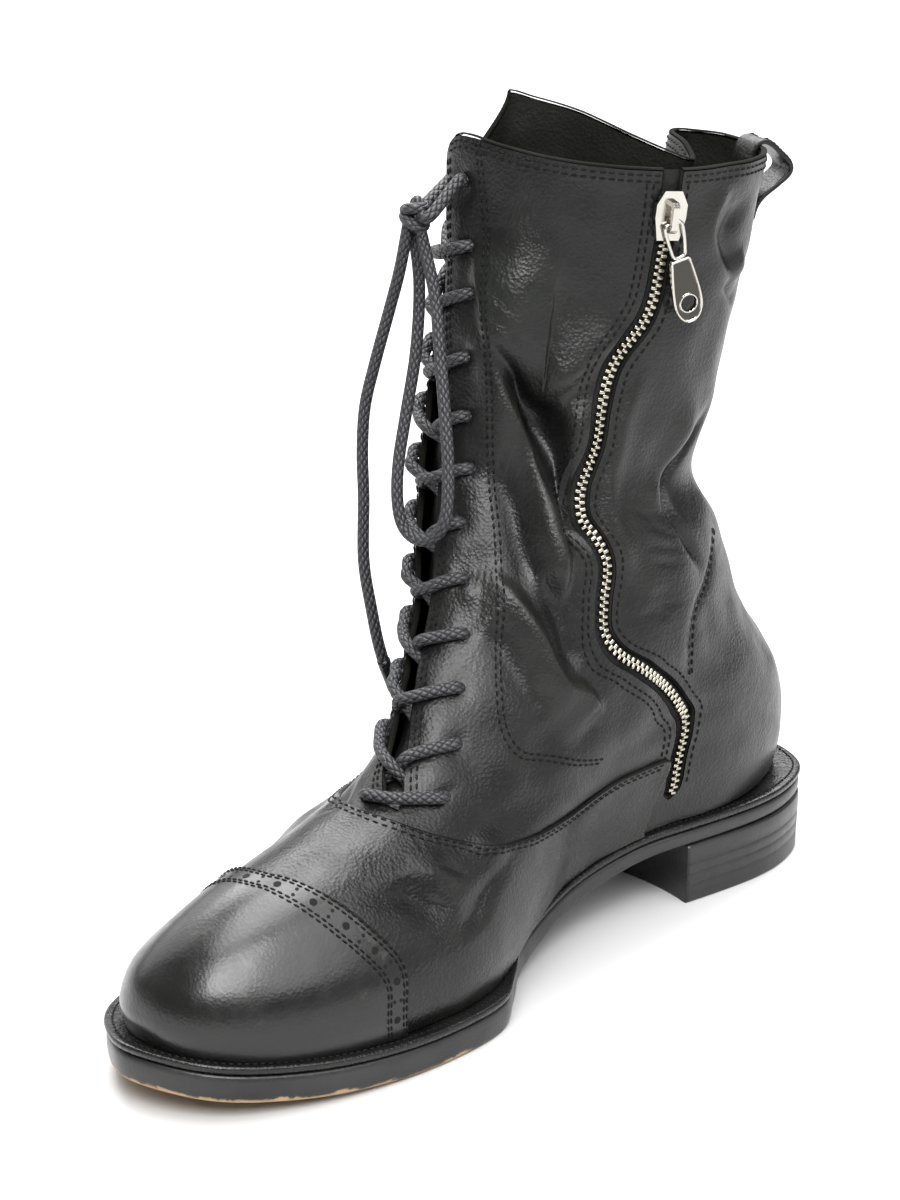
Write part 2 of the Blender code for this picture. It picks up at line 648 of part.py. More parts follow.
def slab(group, name, layers):
    """A sole layer from rings of (inset, height function), closed across at both ends."""
    points = []
    for inset, height in layers:
        loop = outline_ring(inset)
        z = height(loop[:, 1])
        points += [(loop[i, 0], loop[i, 1], z[i]) for i in range(len(loop))]
    count = 2 * OUTLINE_STEPS
    faces = []
    for i in range(len(layers) - 1):
        for j in range(count):
            k = (j + 1) % count
            faces.append((i * count + j, i * count + k, (i + 1) * count + k, (i + 1) * count + j))
    for start in (0, (len(layers) - 1) * count):
        faces.append((start, start + 1, start + count - 1))
        for j in range(1, OUTLINE_STEPS - 1):
            faces.append((start + j, start + j + 1, start + count - j - 1, start + count - j))
        faces.append((start + OUTLINE_STEPS - 1, start + OUTLINE_STEPS, start + OUTLINE_STEPS + 1))
    return finish(make_mesh(group, name, points, faces))


def sole_parts(group):
    """Outsole, welt and heel."""
    slab(group, "outsole", (
        (2.4, sole_bottom),
        (0.9, lambda y: sole_bottom(y) + 1.0),
        (0.5, lambda y: sole_bottom(y) + 0.45 * (sole_top(y) - sole_bottom(y))),
        (0.7, lambda y: sole_top(y) - 1.2),
        (1.6, sole_top),
    ))
    slab(group, "welt", (
        (1.5, lambda y: sole_top(y) + GAP),
        (0.3, lambda y: sole_top(y) + GAP + 0.9),
        (0.0, lambda y: feather(y) - GAP - 0.9),
        (0.8, lambda y: feather(y) - GAP),
    ))
    heel_part(group)


def heel_part(group):
    """The heel block, with a bowed breast and a slight taper."""
    loops = []
    top = float(sole_bottom(80.0)) - GAP
    for inset, z in ((2.6, 0.0), (1.2, 1.2), (1.0, 6.2), (1.7, 6.8), (0.8, 7.4), (0.5, top - 0.8), (1.0, top)):
        full = outline_ring(inset)
        keep = [point for point in full if point[1] > HEEL_BREAST_Y + 7.0]
        ends = []
        for side in (1.0, -1.0):
            near = [point for point in full if point[0] * side > 0 and point[1] > 20]
            near = sorted(near, key=lambda point: point[1])
            xs = float(np.interp(HEEL_BREAST_Y + 0.4 * inset, [p[1] for p in near], [p[0] for p in near]))
            ends.append(xs)
        breast = []
        for k in range(9):
            share = k / 8
            x = ends[1] + (ends[0] - ends[1]) * share
            bow = HEEL_BREAST_BOW * (1 - (2 * share - 1) ** 2)
            breast.append((x, HEEL_BREAST_Y + 0.4 * inset + bow))
        loops.append([tuple(point) + (z,) for point in keep] + [point + (z,) for point in breast])
    count = len(loops[0])
    points = [point for loop in loops for point in loop]
    faces = []
    for i in range(len(loops) - 1):
        for j in range(count):
            k = (j + 1) % count
            faces.append((i * count + j, i * count + k, (i + 1) * count + k, (i + 1) * count + j))
    faces.append(tuple(range(count)))
    faces.append(tuple((len(loops) - 1) * count + j for j in range(count)))
    return finish(make_mesh(group, "heel", points, faces))


def insole_part(group):
    """The insole, filling the bottom of the upper just inside its wall."""
    steps = 26
    loops = []
    for height in (GAP, GAP + INSOLE_THICK):
        loop = []
        for k in range(2 * steps):
            turn = k / steps if k <= steps else k / steps - 2.0
            point = skin(0.0, turn)
            out = facing(skin, 0.3, turn)
            out[2] = 0.0
            out = out / np.linalg.norm(out)
            point = point - out * (WALL + 1.7)
            loop.append((point[0], point[1], float(feather(point[1])) + height))
        loops.append(loop)
    count = 2 * steps
    points = loops[0] + loops[1]
    faces = []
    for j in range(count):
        k = (j + 1) % count
        faces.append((j, k, k + count, j + count))
    for start in (0, count):
        faces.append((start, start + 1, start + count - 1))
        for j in range(1, steps - 1):
            faces.append((start + j, start + j + 1, start + count - j - 1, start + count - j))
        faces.append((start + steps - 1, start + steps, start + steps + 1))
    return finish(make_mesh(group, "insole", points, faces))


def ribbon(group, name, frames, half, low, high):
    """A strap of flat section along frames of (centre, across, out)."""
    points = []
    for centre, across, out in frames:
        points.append(centre - across * half + out * low)
        points.append(centre + across * half + out * low)
        points.append(centre + across * half + out * high)
        points.append(centre - across * half + out * high)
    faces = []
    for i in range(len(frames) - 1):
        for j in range(4):
            k = (j + 1) % 4
            faces.append((i * 4 + j, i * 4 + k, (i + 1) * 4 + k, (i + 1) * 4 + j))
    faces.append((0, 1, 2, 3))
    end = (len(frames) - 1) * 4
    faces.append((end, end + 1, end + 2, end + 3))
    return finish(make_mesh(group, name, points, faces))


def zip_chain_part(group):
    """The zip's teeth and tape as one strip in the upper's slot."""
    foot = UPPER_ROWS.index(ZIP_BOTTOM_ROW)
    frames = []
    for row in UPPER_ROWS[foot:]:
        centre, across, down, out = zip_frame(row)
        if row == UPPER_ROWS[foot]:
            centre = centre - down * 3 * GAP
        frames.append((centre, across, out))
    return ribbon(group, "zip_chain", frames, ZIP_HALF_SLOT - 2 * GAP, -1.7, 0.5)


def slider_frame():
    """Matrix from the slider's own frame (millimetres) to the boot's (metres)."""
    centre, across, down, out = zip_frame(SLIDER_ROW)
    frame = Matrix.Identity(4)
    for k in range(3):
        frame[k][0] = across[k] * MM
        frame[k][1] = down[k] * MM
        frame[k][2] = out[k] * MM
        frame[k][3] = centre[k] * MM
    return frame


def local_mesh(group, name, points, faces, frame):
    """A mesh drawn in a local frame and placed by its points."""
    placed = [tuple((frame @ vector(point)) / MM) for point in points]
    return make_mesh(group, name, placed, faces)


def prism(profile, low, high, axis):
    """Points and faces of a profile swept along one local axis."""
    points = []
    for level in (low, high):
        for a, b in profile:
            points.append((level, a, b) if axis == 0 else (a, b, level))
    count = len(profile)
    faces = [tuple(range(count)), tuple(range(count, 2 * count))]
    for j in range(count):
        k = (j + 1) % count
        faces.append((j, k, k + count, j + count))
    return points, faces


def slider_part(group, cutters):
    """The slider: a plate over the teeth and a bridge that holds the pull's link."""
    frame = slider_frame()
    half = SLIDER["across"] / 2
    reach = SLIDER["long"] / 2
    plan = (
        (-half * 0.55, -reach), (half * 0.55, -reach), (half, -reach * 0.45), (half, reach * 0.1),
        (half * 0.72, reach), (-half * 0.72, reach), (-half, reach * 0.1), (-half, -reach * 0.45),
    )
    points, faces = prism(plan, SLIDER["low"], SLIDER["high"], 2)
    item = local_mesh(group, "zip_slider", points, faces, frame)
    points, faces = prism(ARCH_PROFILE, -ARCH_HALF, ARCH_HALF, 0)
    bridge = local_mesh(cutters, "slider_bridge", points, faces, frame)
    join_with(item, bridge, "UNION")
    return finish(item)


def pull_frame():
    """Matrix of the pull: its pin lies across the slider's bridge, swung a little."""
    turn = Matrix.Rotation(math.radians(PULL_SWING), 4, "Z")
    return slider_frame() @ Matrix.Translation((0.0, PULL_PIN_DOWN, PULL_PIN_OUT)) @ turn


def tube(group, name, points, radius, closed, sides):
    """A round cord or wire along points in millimetres."""
    curve = bpy.data.curves.new(name, "CURVE")
    curve.dimensions = "3D"
    curve.bevel_depth = radius * MM
    curve.bevel_resolution = sides
    curve.use_fill_caps = True
    spline = curve.splines.new("POLY")
    spline.points.add(len(points) - 1)
    for place, point in zip(spline.points, points):
        place.co = (point[0] * MM, point[1] * MM, point[2] * MM, 1.0)
    spline.use_cyclic_u = closed
    source = bpy.data.objects.new(name + "_route", curve)
    group.objects.link(source)
    graph = bpy.context.evaluated_depsgraph_get()
    graph.update()
    data = bpy.data.meshes.new_from_object(source.evaluated_get(graph))
    bpy.data.objects.remove(source, do_unlink=True)
    shape = bmesh.new()
    shape.from_mesh(data)
    bmesh.ops.remove_doubles(shape, verts=shape.verts, dist=0.000005)
    bmesh.ops.recalc_face_normals(shape, faces=shape.faces)
    shape.to_mesh(data)
    shape.free()
    item = bpy.data.objects.new(name, data)
    group.objects.link(item)
    return item


def pull_part(group, cutters):
    """The pull: a wire link through the bridge and a tab with a round hole."""
    frame = pull_frame()
    plan = [(half, down) for down, half in TAB] + [(-half, down) for down, half in reversed(TAB)]
    points, faces = prism(plan, -TAB_HALF_THICK, TAB_HALF_THICK, 2)
    item = local_mesh(group, "zip_pull", points, faces, frame)
    bpy.ops.object.select_all(action="DESELECT")
    bpy.ops.mesh.primitive_cylinder_add(vertices=20, radius=TAB_HOLE_RADIUS, depth=8.0)
    hole = bpy.context.active_object
    hole.name = "tab_hole"
    for other in list(hole.users_collection):
        other.objects.unlink(hole)
    cutters.objects.link(hole)
    hole.data.transform(frame @ Matrix.Translation((0.0, TAB_HOLE_DOWN, 0.0)))
    join_with(item, hole, "DIFFERENCE")
    route = [
        (-LINK_HALF + 0.9, 0.0, 0.0), (LINK_HALF - 0.9, 0.0, 0.0), (LINK_HALF, 0.9, 0.0),
        (LINK_HALF, LINK_LONG, 0.0), (-LINK_HALF, LINK_LONG, 0.0), (-LINK_HALF, 0.9, 0.0),
    ]
    placed = [tuple((frame @ vector(point)) / MM) for point in route]
    link = tube(cutters, "pull_link", placed, LINK_RADIUS, True, 2)
    join_with(item, link, "UNION")
    return finish(item)


def pull_loop_part(group):
    """The leather loop sewn at the back of the collar."""
    edge = skin(TOP_ROW, 1.0)
    out = facing(skin, 13.7, 1.0)
    out[2] = 0.0
    out = out / np.linalg.norm(out)
    lean = skin(TOP_ROW, 1.0) - skin(13.2, 1.0)
    lean = lean / lean[2]
    side = np.cross(np.array([0.0, 0.0, 1.0]), out)
    fine = [catmull(PULL_LOOP, (len(PULL_LOOP) - 1) * k / 22) for k in range(23)]
    path = [edge + out * o + (lean * u if u < 0 else np.array([0.0, 0.0, u])) for o, u in fine]
    frames = []
    for i in range(len(path)):
        along = path[min(i + 1, len(path) - 1)] - path[max(i - 1, 0)]
        along = along / np.linalg.norm(along)
        frames.append((path[i], side, np.cross(side, along)))
    return ribbon(group, "pull_loop", frames, PULL_LOOP_WIDE / 2, -PULL_LOOP_THICK / 2, PULL_LOOP_THICK / 2)


def outer_hole(index):
    """Turn of the hole across the slit from an inner hole."""
    row, turn = HOLES[index]
    inner, outer = throat(row)
    return outer - (turn - inner)


def crossing_route(first_inner, over):
    """One half of the lacing: it zigzags over the edges and dips or lifts in the slit."""
    route = []
    side = first_inner
    for index, (row, turn) in enumerate(HOLES):
        place = turn if side else outer_hole(index)
        step = 0.15
        if index > 0:
            route.append(lifted(row - step, place, LACE_UP))
        else:
            route.append(lifted(row, place, LACE_UP))
        if index == len(HOLES) - 1:
            break
        if index > 0:
            route.append(lifted(row + step, place, LACE_UP))
        ahead = HOLES[index + 1][0]
        if index == 0:
            row = row + 0.02
        for share, height in ((0.27, LACE_UP), (0.5, over), (0.73, LACE_UP)):
            at = row + (ahead - row) * share
            inner, outer = throat(at)
            middle = (inner + outer) / 2
            edge = (inner if side else outer) if share < 0.5 else (outer if side else inner)
            put = middle if share == 0.5 else edge
            route.append(lifted(at, put, max(height, over) if share == 0.5 and over > LACE_UP else height))
        side = not side
    return route


def knot_frame():
    """Centre of the knot and its across, up and out directions."""
    centre = lifted(KNOT["row"], KNOT["turn"], KNOT["height"])
    out = facing(skin, KNOT["row"], KNOT["turn"])
    across = np.cross(np.array([0.0, 0.0, 1.0]), out)
    across = across / np.linalg.norm(across)
    return centre, across, np.cross(out, across), out


def port(name, further=0.0):
    """Where a lace meets the knot, or a little further out along the same line."""
    centre, across, up, out = knot_frame()
    a, b, c = KNOT_PORTS[name]
    reach = across * a + up * b + out * c
    return centre + reach * (1.0 + further / np.linalg.norm(reach))


def lacing_parts(group):
    """The laced crossings: a lower half with the bottom bar, and an upper half over it."""
    low = crossing_route(True, 0.3)
    row, _ = HOLES[0]
    inner, outer = throat(row)
    bar = [lifted(row - 0.02, outer_hole(0), LACE_UP), lifted(row - 0.02, (inner + outer) / 2, LACE_UP + 0.6)]
    inner, outer = throat(TOP_CROSS_ROW)
    over = lifted(TOP_CROSS_ROW, (inner + outer) / 2, TOP_CROSS_UP)
    low = bar + low + [over, port("lacing_out", 4.0), port("lacing_out")]
    finish(tube(group, "lace_crossings_low", low, LACE_DIA / 2, False, 2))
    high = crossing_route(False, 5.2)[1:] + [port("lacing_in", 4.0), port("lacing_in")]
    finish(tube(group, "lace_crossings_high", high, LACE_DIA / 2, False, 2))


def cord_part(group, name, rows, ports, count):
    """A free lace read from a smooth curve through its chosen points."""
    chosen = [port(ports[0]), port(ports[0], 6.0)] + list(rows)
    if len(ports) > 1:
        chosen += [port(ports[1], 6.0), port(ports[1])]
    route = [catmull(chosen, (len(chosen) - 1) * k / (count - 1)) for k in range(count)]
    return finish(tube(group, name, route, LACE_DIA / 2, False, 2))


def knot_part(group):
    """The knot as one rounded lump over the top of the slit."""
    bpy.ops.object.select_all(action="DESELECT")
    bpy.ops.mesh.primitive_uv_sphere_add(segments=16, ring_count=10, radius=1.0)
    item = bpy.context.active_object
    item.name = "lace_knot"
    for other in list(item.users_collection):
        other.objects.unlink(item)
    group.objects.link(item)
    centre, across, up, out = knot_frame()
    frame = Matrix.Identity(4)
    for k in range(3):
        frame[k][0] = across[k] * KNOT["across"] / 2 * MM
        frame[k][1] = up[k] * KNOT["tall"] / 2 * MM
        frame[k][2] = out[k] * KNOT["deep"] / 2 * MM
        frame[k][3] = centre[k] * MM
    item.data.transform(frame)
    return finish(item)


def build():
    """Make every part."""
    clear_scene()
    group = new_group("lace_up_boot", False)
    cutters = new_group("cutters", True)
    points, normals = upper_grid()
    sole_parts(group)
    insole_part(group)
    upper_part(group, points, normals)
    foot = UPPER_ROWS.index(THROAT_BOTTOM_ROW)
    overlay_part(group, cutters, "vamp", points, normals, GAP, (1, foot), vamp_cutter(cutters))
    over = GAP + OVERLAY + GAP
    overlay_part(group, cutters, "toe_cap", points, normals, over, (1, foot - 1), cap_cutter(cutters))
    tongue_part(group)
    zip_chain_part(group)
    slider_part(group, cutters)
    pull_part(group, cutters)
    pull_loop_part(group)
    lacing_parts(group)
    knot_part(group)
    cord_part(group, "lace_loop", LOOP, ("loop_out", "loop_back"), 36)
    cord_part(group, "lace_end", END, ("end",), 26)
    for item in list(group.objects) + list(cutters.objects):
        item.data.transform(Matrix.Translation([v * MM for v in CENTRING]))
    for item in cutters.objects:
        item.display_type = "WIRE"
        item.hide_render = True


build()
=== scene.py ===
"""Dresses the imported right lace-up boot: slouched leather, stitched sole, metal zip and laces.

A place on the upper is (row, turn): row runs from 0 at the sole to 14 at the collar,
turn from 0 at the front line to +1 at the back along the inner side and to -1 along
the outer side. Sizes in the tables are millimetres.
"""

import logging
import math
from dataclasses import dataclass, field
from enum import Enum
from functools import lru_cache
from typing import Callable, Dict, List, Optional, Sequence, Tuple

import bmesh
import bpy
import numpy as np
from mathutils import Matrix, Vector
from mathutils.kdtree import KDTree


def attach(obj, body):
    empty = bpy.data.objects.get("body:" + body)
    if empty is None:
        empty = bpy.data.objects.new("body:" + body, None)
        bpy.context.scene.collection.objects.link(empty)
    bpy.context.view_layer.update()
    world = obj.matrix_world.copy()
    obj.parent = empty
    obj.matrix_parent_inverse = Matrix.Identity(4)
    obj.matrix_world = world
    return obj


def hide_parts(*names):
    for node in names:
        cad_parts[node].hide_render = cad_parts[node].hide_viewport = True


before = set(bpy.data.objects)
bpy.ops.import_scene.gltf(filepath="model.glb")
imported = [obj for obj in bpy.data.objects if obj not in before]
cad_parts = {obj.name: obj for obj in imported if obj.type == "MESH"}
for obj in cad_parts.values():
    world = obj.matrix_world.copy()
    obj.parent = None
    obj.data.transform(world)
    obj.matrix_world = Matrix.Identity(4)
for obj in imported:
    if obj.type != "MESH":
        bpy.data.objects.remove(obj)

LOG = logging.getLogger("boot")
Array = np.ndarray
Pair = Tuple[float, float]
Triple = Tuple[float, float, float]
Pairs = Tuple[Pair, ...]
Colour = Tuple[float, float, float, float]
Shape = Callable[[Array, Array], Array]
Height = Callable[[Array], Array]
Piece = bpy.types.Object
Material = bpy.types.Material
Node = bpy.types.Node
NodeTree = bpy.types.NodeTree
Socket = bpy.types.NodeSocket

MM = 0.001
UP = np.array([0.0, 0.0, 1.0])
CENTRING = np.array([-0.76, 0.25, 0.0])
TOP_ROW = 14.0
WALL = 2.0
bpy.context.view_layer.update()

# The sole's side: the rise to the toe tip, the arch up to the heel, and the layers under the upper.
SPRING_START, SPRING_RUN, SPRING_RISE = -60.0, 92.0, 9.0
ARCH_START, ARCH_RUN, ARCH_POWER = -30.0, 105.0, 1.4
FEATHER_LOW, HEEL_RISE = 13.0, 18.0
WELT_THICK, SOLE_THICK, HEEL_THINNING = 3.6, 9.4, 3.9

SECTION_COLUMNS = (
    "front_y front_z back_y back_z in_ball in_waist in_heel out_ball out_waist out_heel "
    "nose nose_p rear rear_p twist shift sag ridge"
).split()
# Plain sections from the sole up to the collar.
SECTIONS = (
    (-144, 20.9, 146.5, 31.4, 45.0, 22, 34, 44.0, 37, 34, .36, 2.25, .24, 2.1, 0, 0, 1.00, 5),
    (-147, 30, 149, 41, 47.0, 25, 35.5, 46.0, 39, 35.5, .36, 2.25, .24, 2.1, 0, 0, 1.00, 5),
    (-144, 41, 149.5, 49, 46.5, 28.5, 36.5, 44.5, 40, 36.5, .38, 2.25, .25, 2.1, 0, 0, 0.95, 5),
    (-133, 51, 149, 57, 43.0, 30.5, 37, 41.0, 40, 37, .42, 2.20, .27, 2.1, 0, 0, 0.85, 6),
    (-114, 59, 147, 64, 38.5, 33, 37, 37.0, 39, 37, .46, 2.20, .29, 2.1, 0, 0, 0.70, 8),
    (-90, 65, 144, 71, 34.5, 33, 37, 33.0, 38, 37, .50, 2.10, .31, 2.1, 0, 0, 0.52, 11),
    (-66, 72, 140, 78, 32.5, 34, 37, 31.5, 37, 37, .52, 2.10, .34, 2.1, 0, 0, 0.34, 13),
    (-48, 84, 136, 86, 32.5, 35, 37, 31.5, 36, 37, .54, 2.00, .38, 2.1, 1, -1, 0.18, 14),
    (-32, 100, 130, 97, 34.0, 37, 36, 33.0, 36, 36, .54, 2.00, .42, 2.1, 3, -2, 0.06, 12),
    (-17, 120, 123, 111, 35.5, 38, 36, 34.5, 36, 36, .54, 2.00, .45, 2.1, 6, -4, 0.00, 8),
    (-6, 142, 115, 130, 36.0, 38, 36, 35.0, 36, 36, .54, 2.00, .46, 2.1, 9, -7, 0.00, 4),
    (3, 165, 108, 151, 36.0, 37, 36, 35.0, 36, 35, .54, 2.00, .46, 2.1, 13, -10, 0.00, 1),
    (11, 192, 111, 180, 37.0, 38, 37, 36.0, 37, 36, .54, 2.00, .46, 2.1, 18, -10, 0.00, 0),
    (15, 228, 118, 218, 39.0, 40, 39, 38.0, 39, 38, .54, 2.00, .46, 2.1, 24, -8, 0.00, 0),
    (17, 264, 124, 256, 41.0, 42, 41, 40.0, 41, 40, .54, 2.00, .46, 2.1, 28, -5, 0.00, 0),
)
WIDTH_STATIONS = np.array([0.0, 0.30, 0.58, 0.85, 1.0])
# Wide folds: row, turn, reach in rows, reach in turns, height; below zero is a hollow.
FOLDS = (
    (3.9, -0.17, 1.5, 0.120, -5.0), (2.3, -0.08, 2.0, 0.170, -4.5),
    (11.7, 0.27, 0.9, 0.055, -4.5), (12.7, 0.22, 0.7, 0.070, 3.0), (10.1, 0.30, 0.9, 0.050, 2.5),
    (10.9, 0.62, 0.5, 0.080, -3.5), (8.6, 0.92, 1.9, 0.300, -4.5), (10.95, 0.92, 0.5, 0.280, -5.0),
    (11.0, -0.45, 0.7, 0.120, -5.0), (12.3, -0.35, 0.7, 0.120, 3.0),
)
# The collar's tucked outer side: turn, then its push along X, Y and Z.
TUCK = (
    (-0.88, 0.0, 0.0, 0.0), (-0.80, 1.0, -4.0, 0.0), (-0.72, 13.0, -11.0, 0.0), (-0.64, 37.0, -15.0, -2.0),
    (-0.58, 52.0, -15.0, -7.0), (-0.53, 53.0, -14.5, -6.0), (-0.45, 44.0, -7.0, -4.0),
    (-0.35, 29.6, 3.3, -1.0), (-0.25, 17.4, 10.0, 0.0), (-0.185, 9.0, 13.6, 1.0), (-0.12, 4.5, 8.0, 0.5),
    (-0.04, 0.0, 0.0, 0.0),
)
TUCK_START_ROW = 11.9
# Rise of the collar: turn, height.
COLLAR = (
    (-1.0, 0.0), (-0.7, 2.0), (-0.4, 7.0), (-0.19, 11.0), (-0.1, 9.0), (-0.05, 2.0), (0.0, -1.0),
    (0.06, 0.5), (0.3, 0.0), (0.53, -1.0), (0.75, 0.0), (1.0, 0.0),
)
COLLAR_START_ROW, COLLAR_ROWS = 12.4, 1.6
# Lift of the corner where the slit meets the collar: turn, height.
CORNER = (
    (-1.0, 0.0), (-0.2, 0.0), (-0.06, 0.0), (0.0, 2.0), (0.05, 3.6), (0.10, 3.8), (0.16, 2.6),
    (0.25, 1.0), (0.36, 0.0), (1.0, 0.0),
)
CORNER_START_ROW, CORNER_ROWS = 13.3, 0.7
# The slit: row, turn of its inner edge, turn of its outer edge.
THROAT = (
    (6.15, 0.055, 0.055), (6.30, 0.052, 0.028), (6.60, 0.040, 0.010), (6.85, 0.030, -0.009),
    (7.5, 0.012, -0.037), (8.5, 0.000, -0.061), (9.5, 0.015, -0.058), (10.5, 0.030, -0.066),
    (11.5, 0.030, -0.078), (12.5, 0.010, -0.100), (13.5, 0.000, -0.128), (14.0, -0.010, -0.185),
)
THROAT_FOOT, THROAT_FOOT_TURN = 6.15, 0.055
SLIT_ROUND_ROW, SLIT_ROUND_ROWS, SLIT_ROUND_TURN = 13.78, 0.22, 0.05
# Lace holes of the inner flap: row, turn.
HOLES = (
    (6.35, 0.110), (7.35, 0.093), (8.20, 0.080), (8.90, 0.083), (9.60, 0.083), (10.30, 0.083),
    (11.00, 0.110), (11.60, 0.095), (12.20, 0.090), (12.75, 0.100), (13.15, 0.090), (13.65, 0.070),
)
# The zip's line: row, turn.
ZIP = (
    (0.0, 0.700), (1.4, 0.700), (2.0, 0.697), (3.5, 0.677), (5.0, 0.640), (6.0, 0.593), (7.0, 0.537),
    (7.8, 0.465), (8.35, 0.397), (8.75, 0.370), (9.2, 0.374), (9.75, 0.394), (10.15, 0.380),
    (10.5, 0.357), (10.9, 0.368), (11.4, 0.405), (11.9, 0.416), (12.3, 0.440), (12.7, 0.510),
    (13.2, 0.532), (14.0, 0.537),
)
ZIP_FOOT = 1.4
ZIP_HALF_SLOT = 3.3
ZIP_SHUT_LEAD, ZIP_SHUT_ROWS = 0.25, 0.3
ZIP_STEP, ZIP_STEEPEST = 0.05, 1.7
# The vamp's edge: y, its height on the inner side, its height on the outer side.
VAMP = (
    (-190, 130, 130), (-76, 130, 130), (-69, 77, 77), (-60, 71.5, 71.5), (-50, 66, 67), (-32, 58.5, 63),
    (-12, 56.3, 64), (9, 56.4, 68), (24, 57.5, 66), (41, 58.7, 57), (56, 59, 42),
)
# Rear edge of the toe cap: x, y.
CAP = (
    (-90, -50), (-50, -71), (-38, -82), (-24, -91), (-8, -97.5), (10, -100), (25, -95), (36, -87.5),
    (46, -77.5), (52, -71), (90, -50),
)
# The sole's outline from the toe down the inner side and back: x, y.
OUTLINE = (
    (4, -152), (28, -141), (43, -116), (51, -87), (53.5, -58), (51, -38), (42, -24), (31.5, -8), (25.5, 20),
    (27.5, 50), (33, 75), (37, 105), (35, 125), (27.5, 141), (14, 149.5), (0, 151.5), (-14, 149.5),
    (-27.5, 141), (-35, 125), (-37, 105), (-37, 75), (-39, 45), (-44, 15), (-49.5, -15), (-52, -42),
    (-49.5, -72), (-41.5, -105), (-28.5, -133), (-13, -147.5),
)
KNOT_ROW, KNOT_TURN, KNOT_HEIGHT = 13.40, 0.030, 12.7
# Where laces meet the knot: across, up and out from its centre.
KNOT_PORTS = {
    "loop_out": (-3.4, -6.2, -1.6), "loop_back": (3.4, -6.2, -1.2), "end": (-0.6, -1.6, 1.6),
    "lacing_in": (5.0, 0.6, -0.8), "lacing_out": (-4.2, -0.6, -2.4),
}
# Chosen points of the hanging loop and end, from the knot on.
LOOP = (
    (-29.7, 8.7, 220.0), (-25.1, 2.1, 200.4), (-23.5, -4.4, 181.4), (-21.2, -10.4, 167.0),
    (-18.6, -13.8, 155.8), (-15.1, -14.9, 147.9), (-8.6, -14.9, 144.8), (-1.6, -14.0, 147.2),
    (1.7, -12.4, 154.4), (-0.1, -9.3, 169.0), (-5.7, -4.9, 186.1), (-12.3, -0.1, 203.4), (-18.2, 4.1, 219.4),
)
END = (
    (-34.0, 4.4, 225.5), (-37.9, 2.9, 211.1), (-40.8, -0.9, 194.5), (-42.8, -3.9, 180.2),
    (-42.2, -6.1, 165.6), (-40.0, -8.1, 150.5), (-37.4, -11.2, 130.9), (-33.7, -11.9, 115.5),
    (-30.7, -10.7, 99.8), (-28.3, -6.0, 84.2),
)
# The pull loop's path: distance out from the collar's edge, height over it.
PULL_LOOP = (
    (1.3, -24.0), (1.6, -20.0), (3.6, -16.5), (7.6, -13.2), (11.2, -9.6), (10.6, -6.2), (6.0, -2.2),
    (0.5, 1.7), (-3.2, 1.0), (-4.1, -3.0), (-4.1, -9.0),
)
CREASE_STEPS, CREASE_REACH = 90, 2.6
WRINKLE_HALF, WRINKLE_DEPTH, WRINKLE_TAPER = 1.2, -0.7, 0.4
# Worn leather: how many slow waves, their lengths and height, and the dents at the lace holes.
WAVES, WAVE_LENGTHS, WAVE_HEIGHT = 44, (13.0, 36.0), 0.055
HOLE_DENT, HOLE_DENT_REACH = 0.9, 3.4


def smooth(value: Array) -> Array:
    """Eased step from 0 to 1."""
    value = np.clip(value, 0.0, 1.0)
    return value * value * (3.0 - 2.0 * value)


def catmull(points: Sequence[Sequence[float]], at: Array) -> Array:
    """Smooth curve through equally spaced points.

    Args:
        points: the points, one row each.
        at: places counted from the first point.

    Returns:
        One point for each place.
    """
    data = np.asarray(points, float)
    at = np.clip(np.atleast_1d(np.asarray(at, float)), 0.0, len(data) - 1.0)
    k = np.minimum(at.astype(int), len(data) - 2)
    t = (at - k)[:, None]
    padded = np.vstack([2 * data[0] - data[1], data, 2 * data[-1] - data[-2]])
    a, b, c, d = (padded[k + shift] for shift in range(4))
    low = 2 * b + (c - a) * t + (2 * a - 5 * b + 4 * c - d) * t ** 2
    return 0.5 * (low + (3 * b - a - 3 * c + d) * t ** 3)


def curve_through(points: Sequence[Sequence[float]], count: int) -> Array:
    """Count points, evenly spaced by length, on the smooth curve through points."""
    fine = catmull(points, np.linspace(0, len(points) - 1, 20 * len(points)))
    return evenly(fine, count)


def run_along(line: Array) -> Array:
    """Length run from the start of a polyline to each of its points."""
    return np.concatenate([[0.0], np.cumsum(np.linalg.norm(np.diff(line, axis=0), axis=1))])


def at_runs(want: Array, run: Array, line: Array) -> Array:
    """Points of a polyline at wanted lengths of its run."""
    return np.stack([np.interp(want, run, line[:, k]) for k in range(line.shape[1])], axis=1)


def evenly(line: Array, count: int) -> Array:
    """Count points evenly spaced by length along a polyline."""
    run = run_along(line)
    return at_runs(np.linspace(0.0, run[-1], count), run, line)


def steps(share: Array, last: int) -> Array:
    """Whole steps from 0 to last at shares of the way."""
    return np.rint(share * last).astype(int)


def frames_at(ahead: Array, across: Array, up: Array, at: Array) -> Array:
    """4 by 4 frames from three axes and a place, one frame for each row.

    Args:
        ahead: the first axis of each frame.
        across: the second axis.
        up: the third axis.
        at: the place of each frame.

    Returns:
        The frames, one for each row.
    """
    made = np.zeros((len(at), 4, 4))
    for column, values in enumerate((ahead, across, up, at)):
        made[:, :3, column] = values
    made[:, 3, 3] = 1.0
    return made


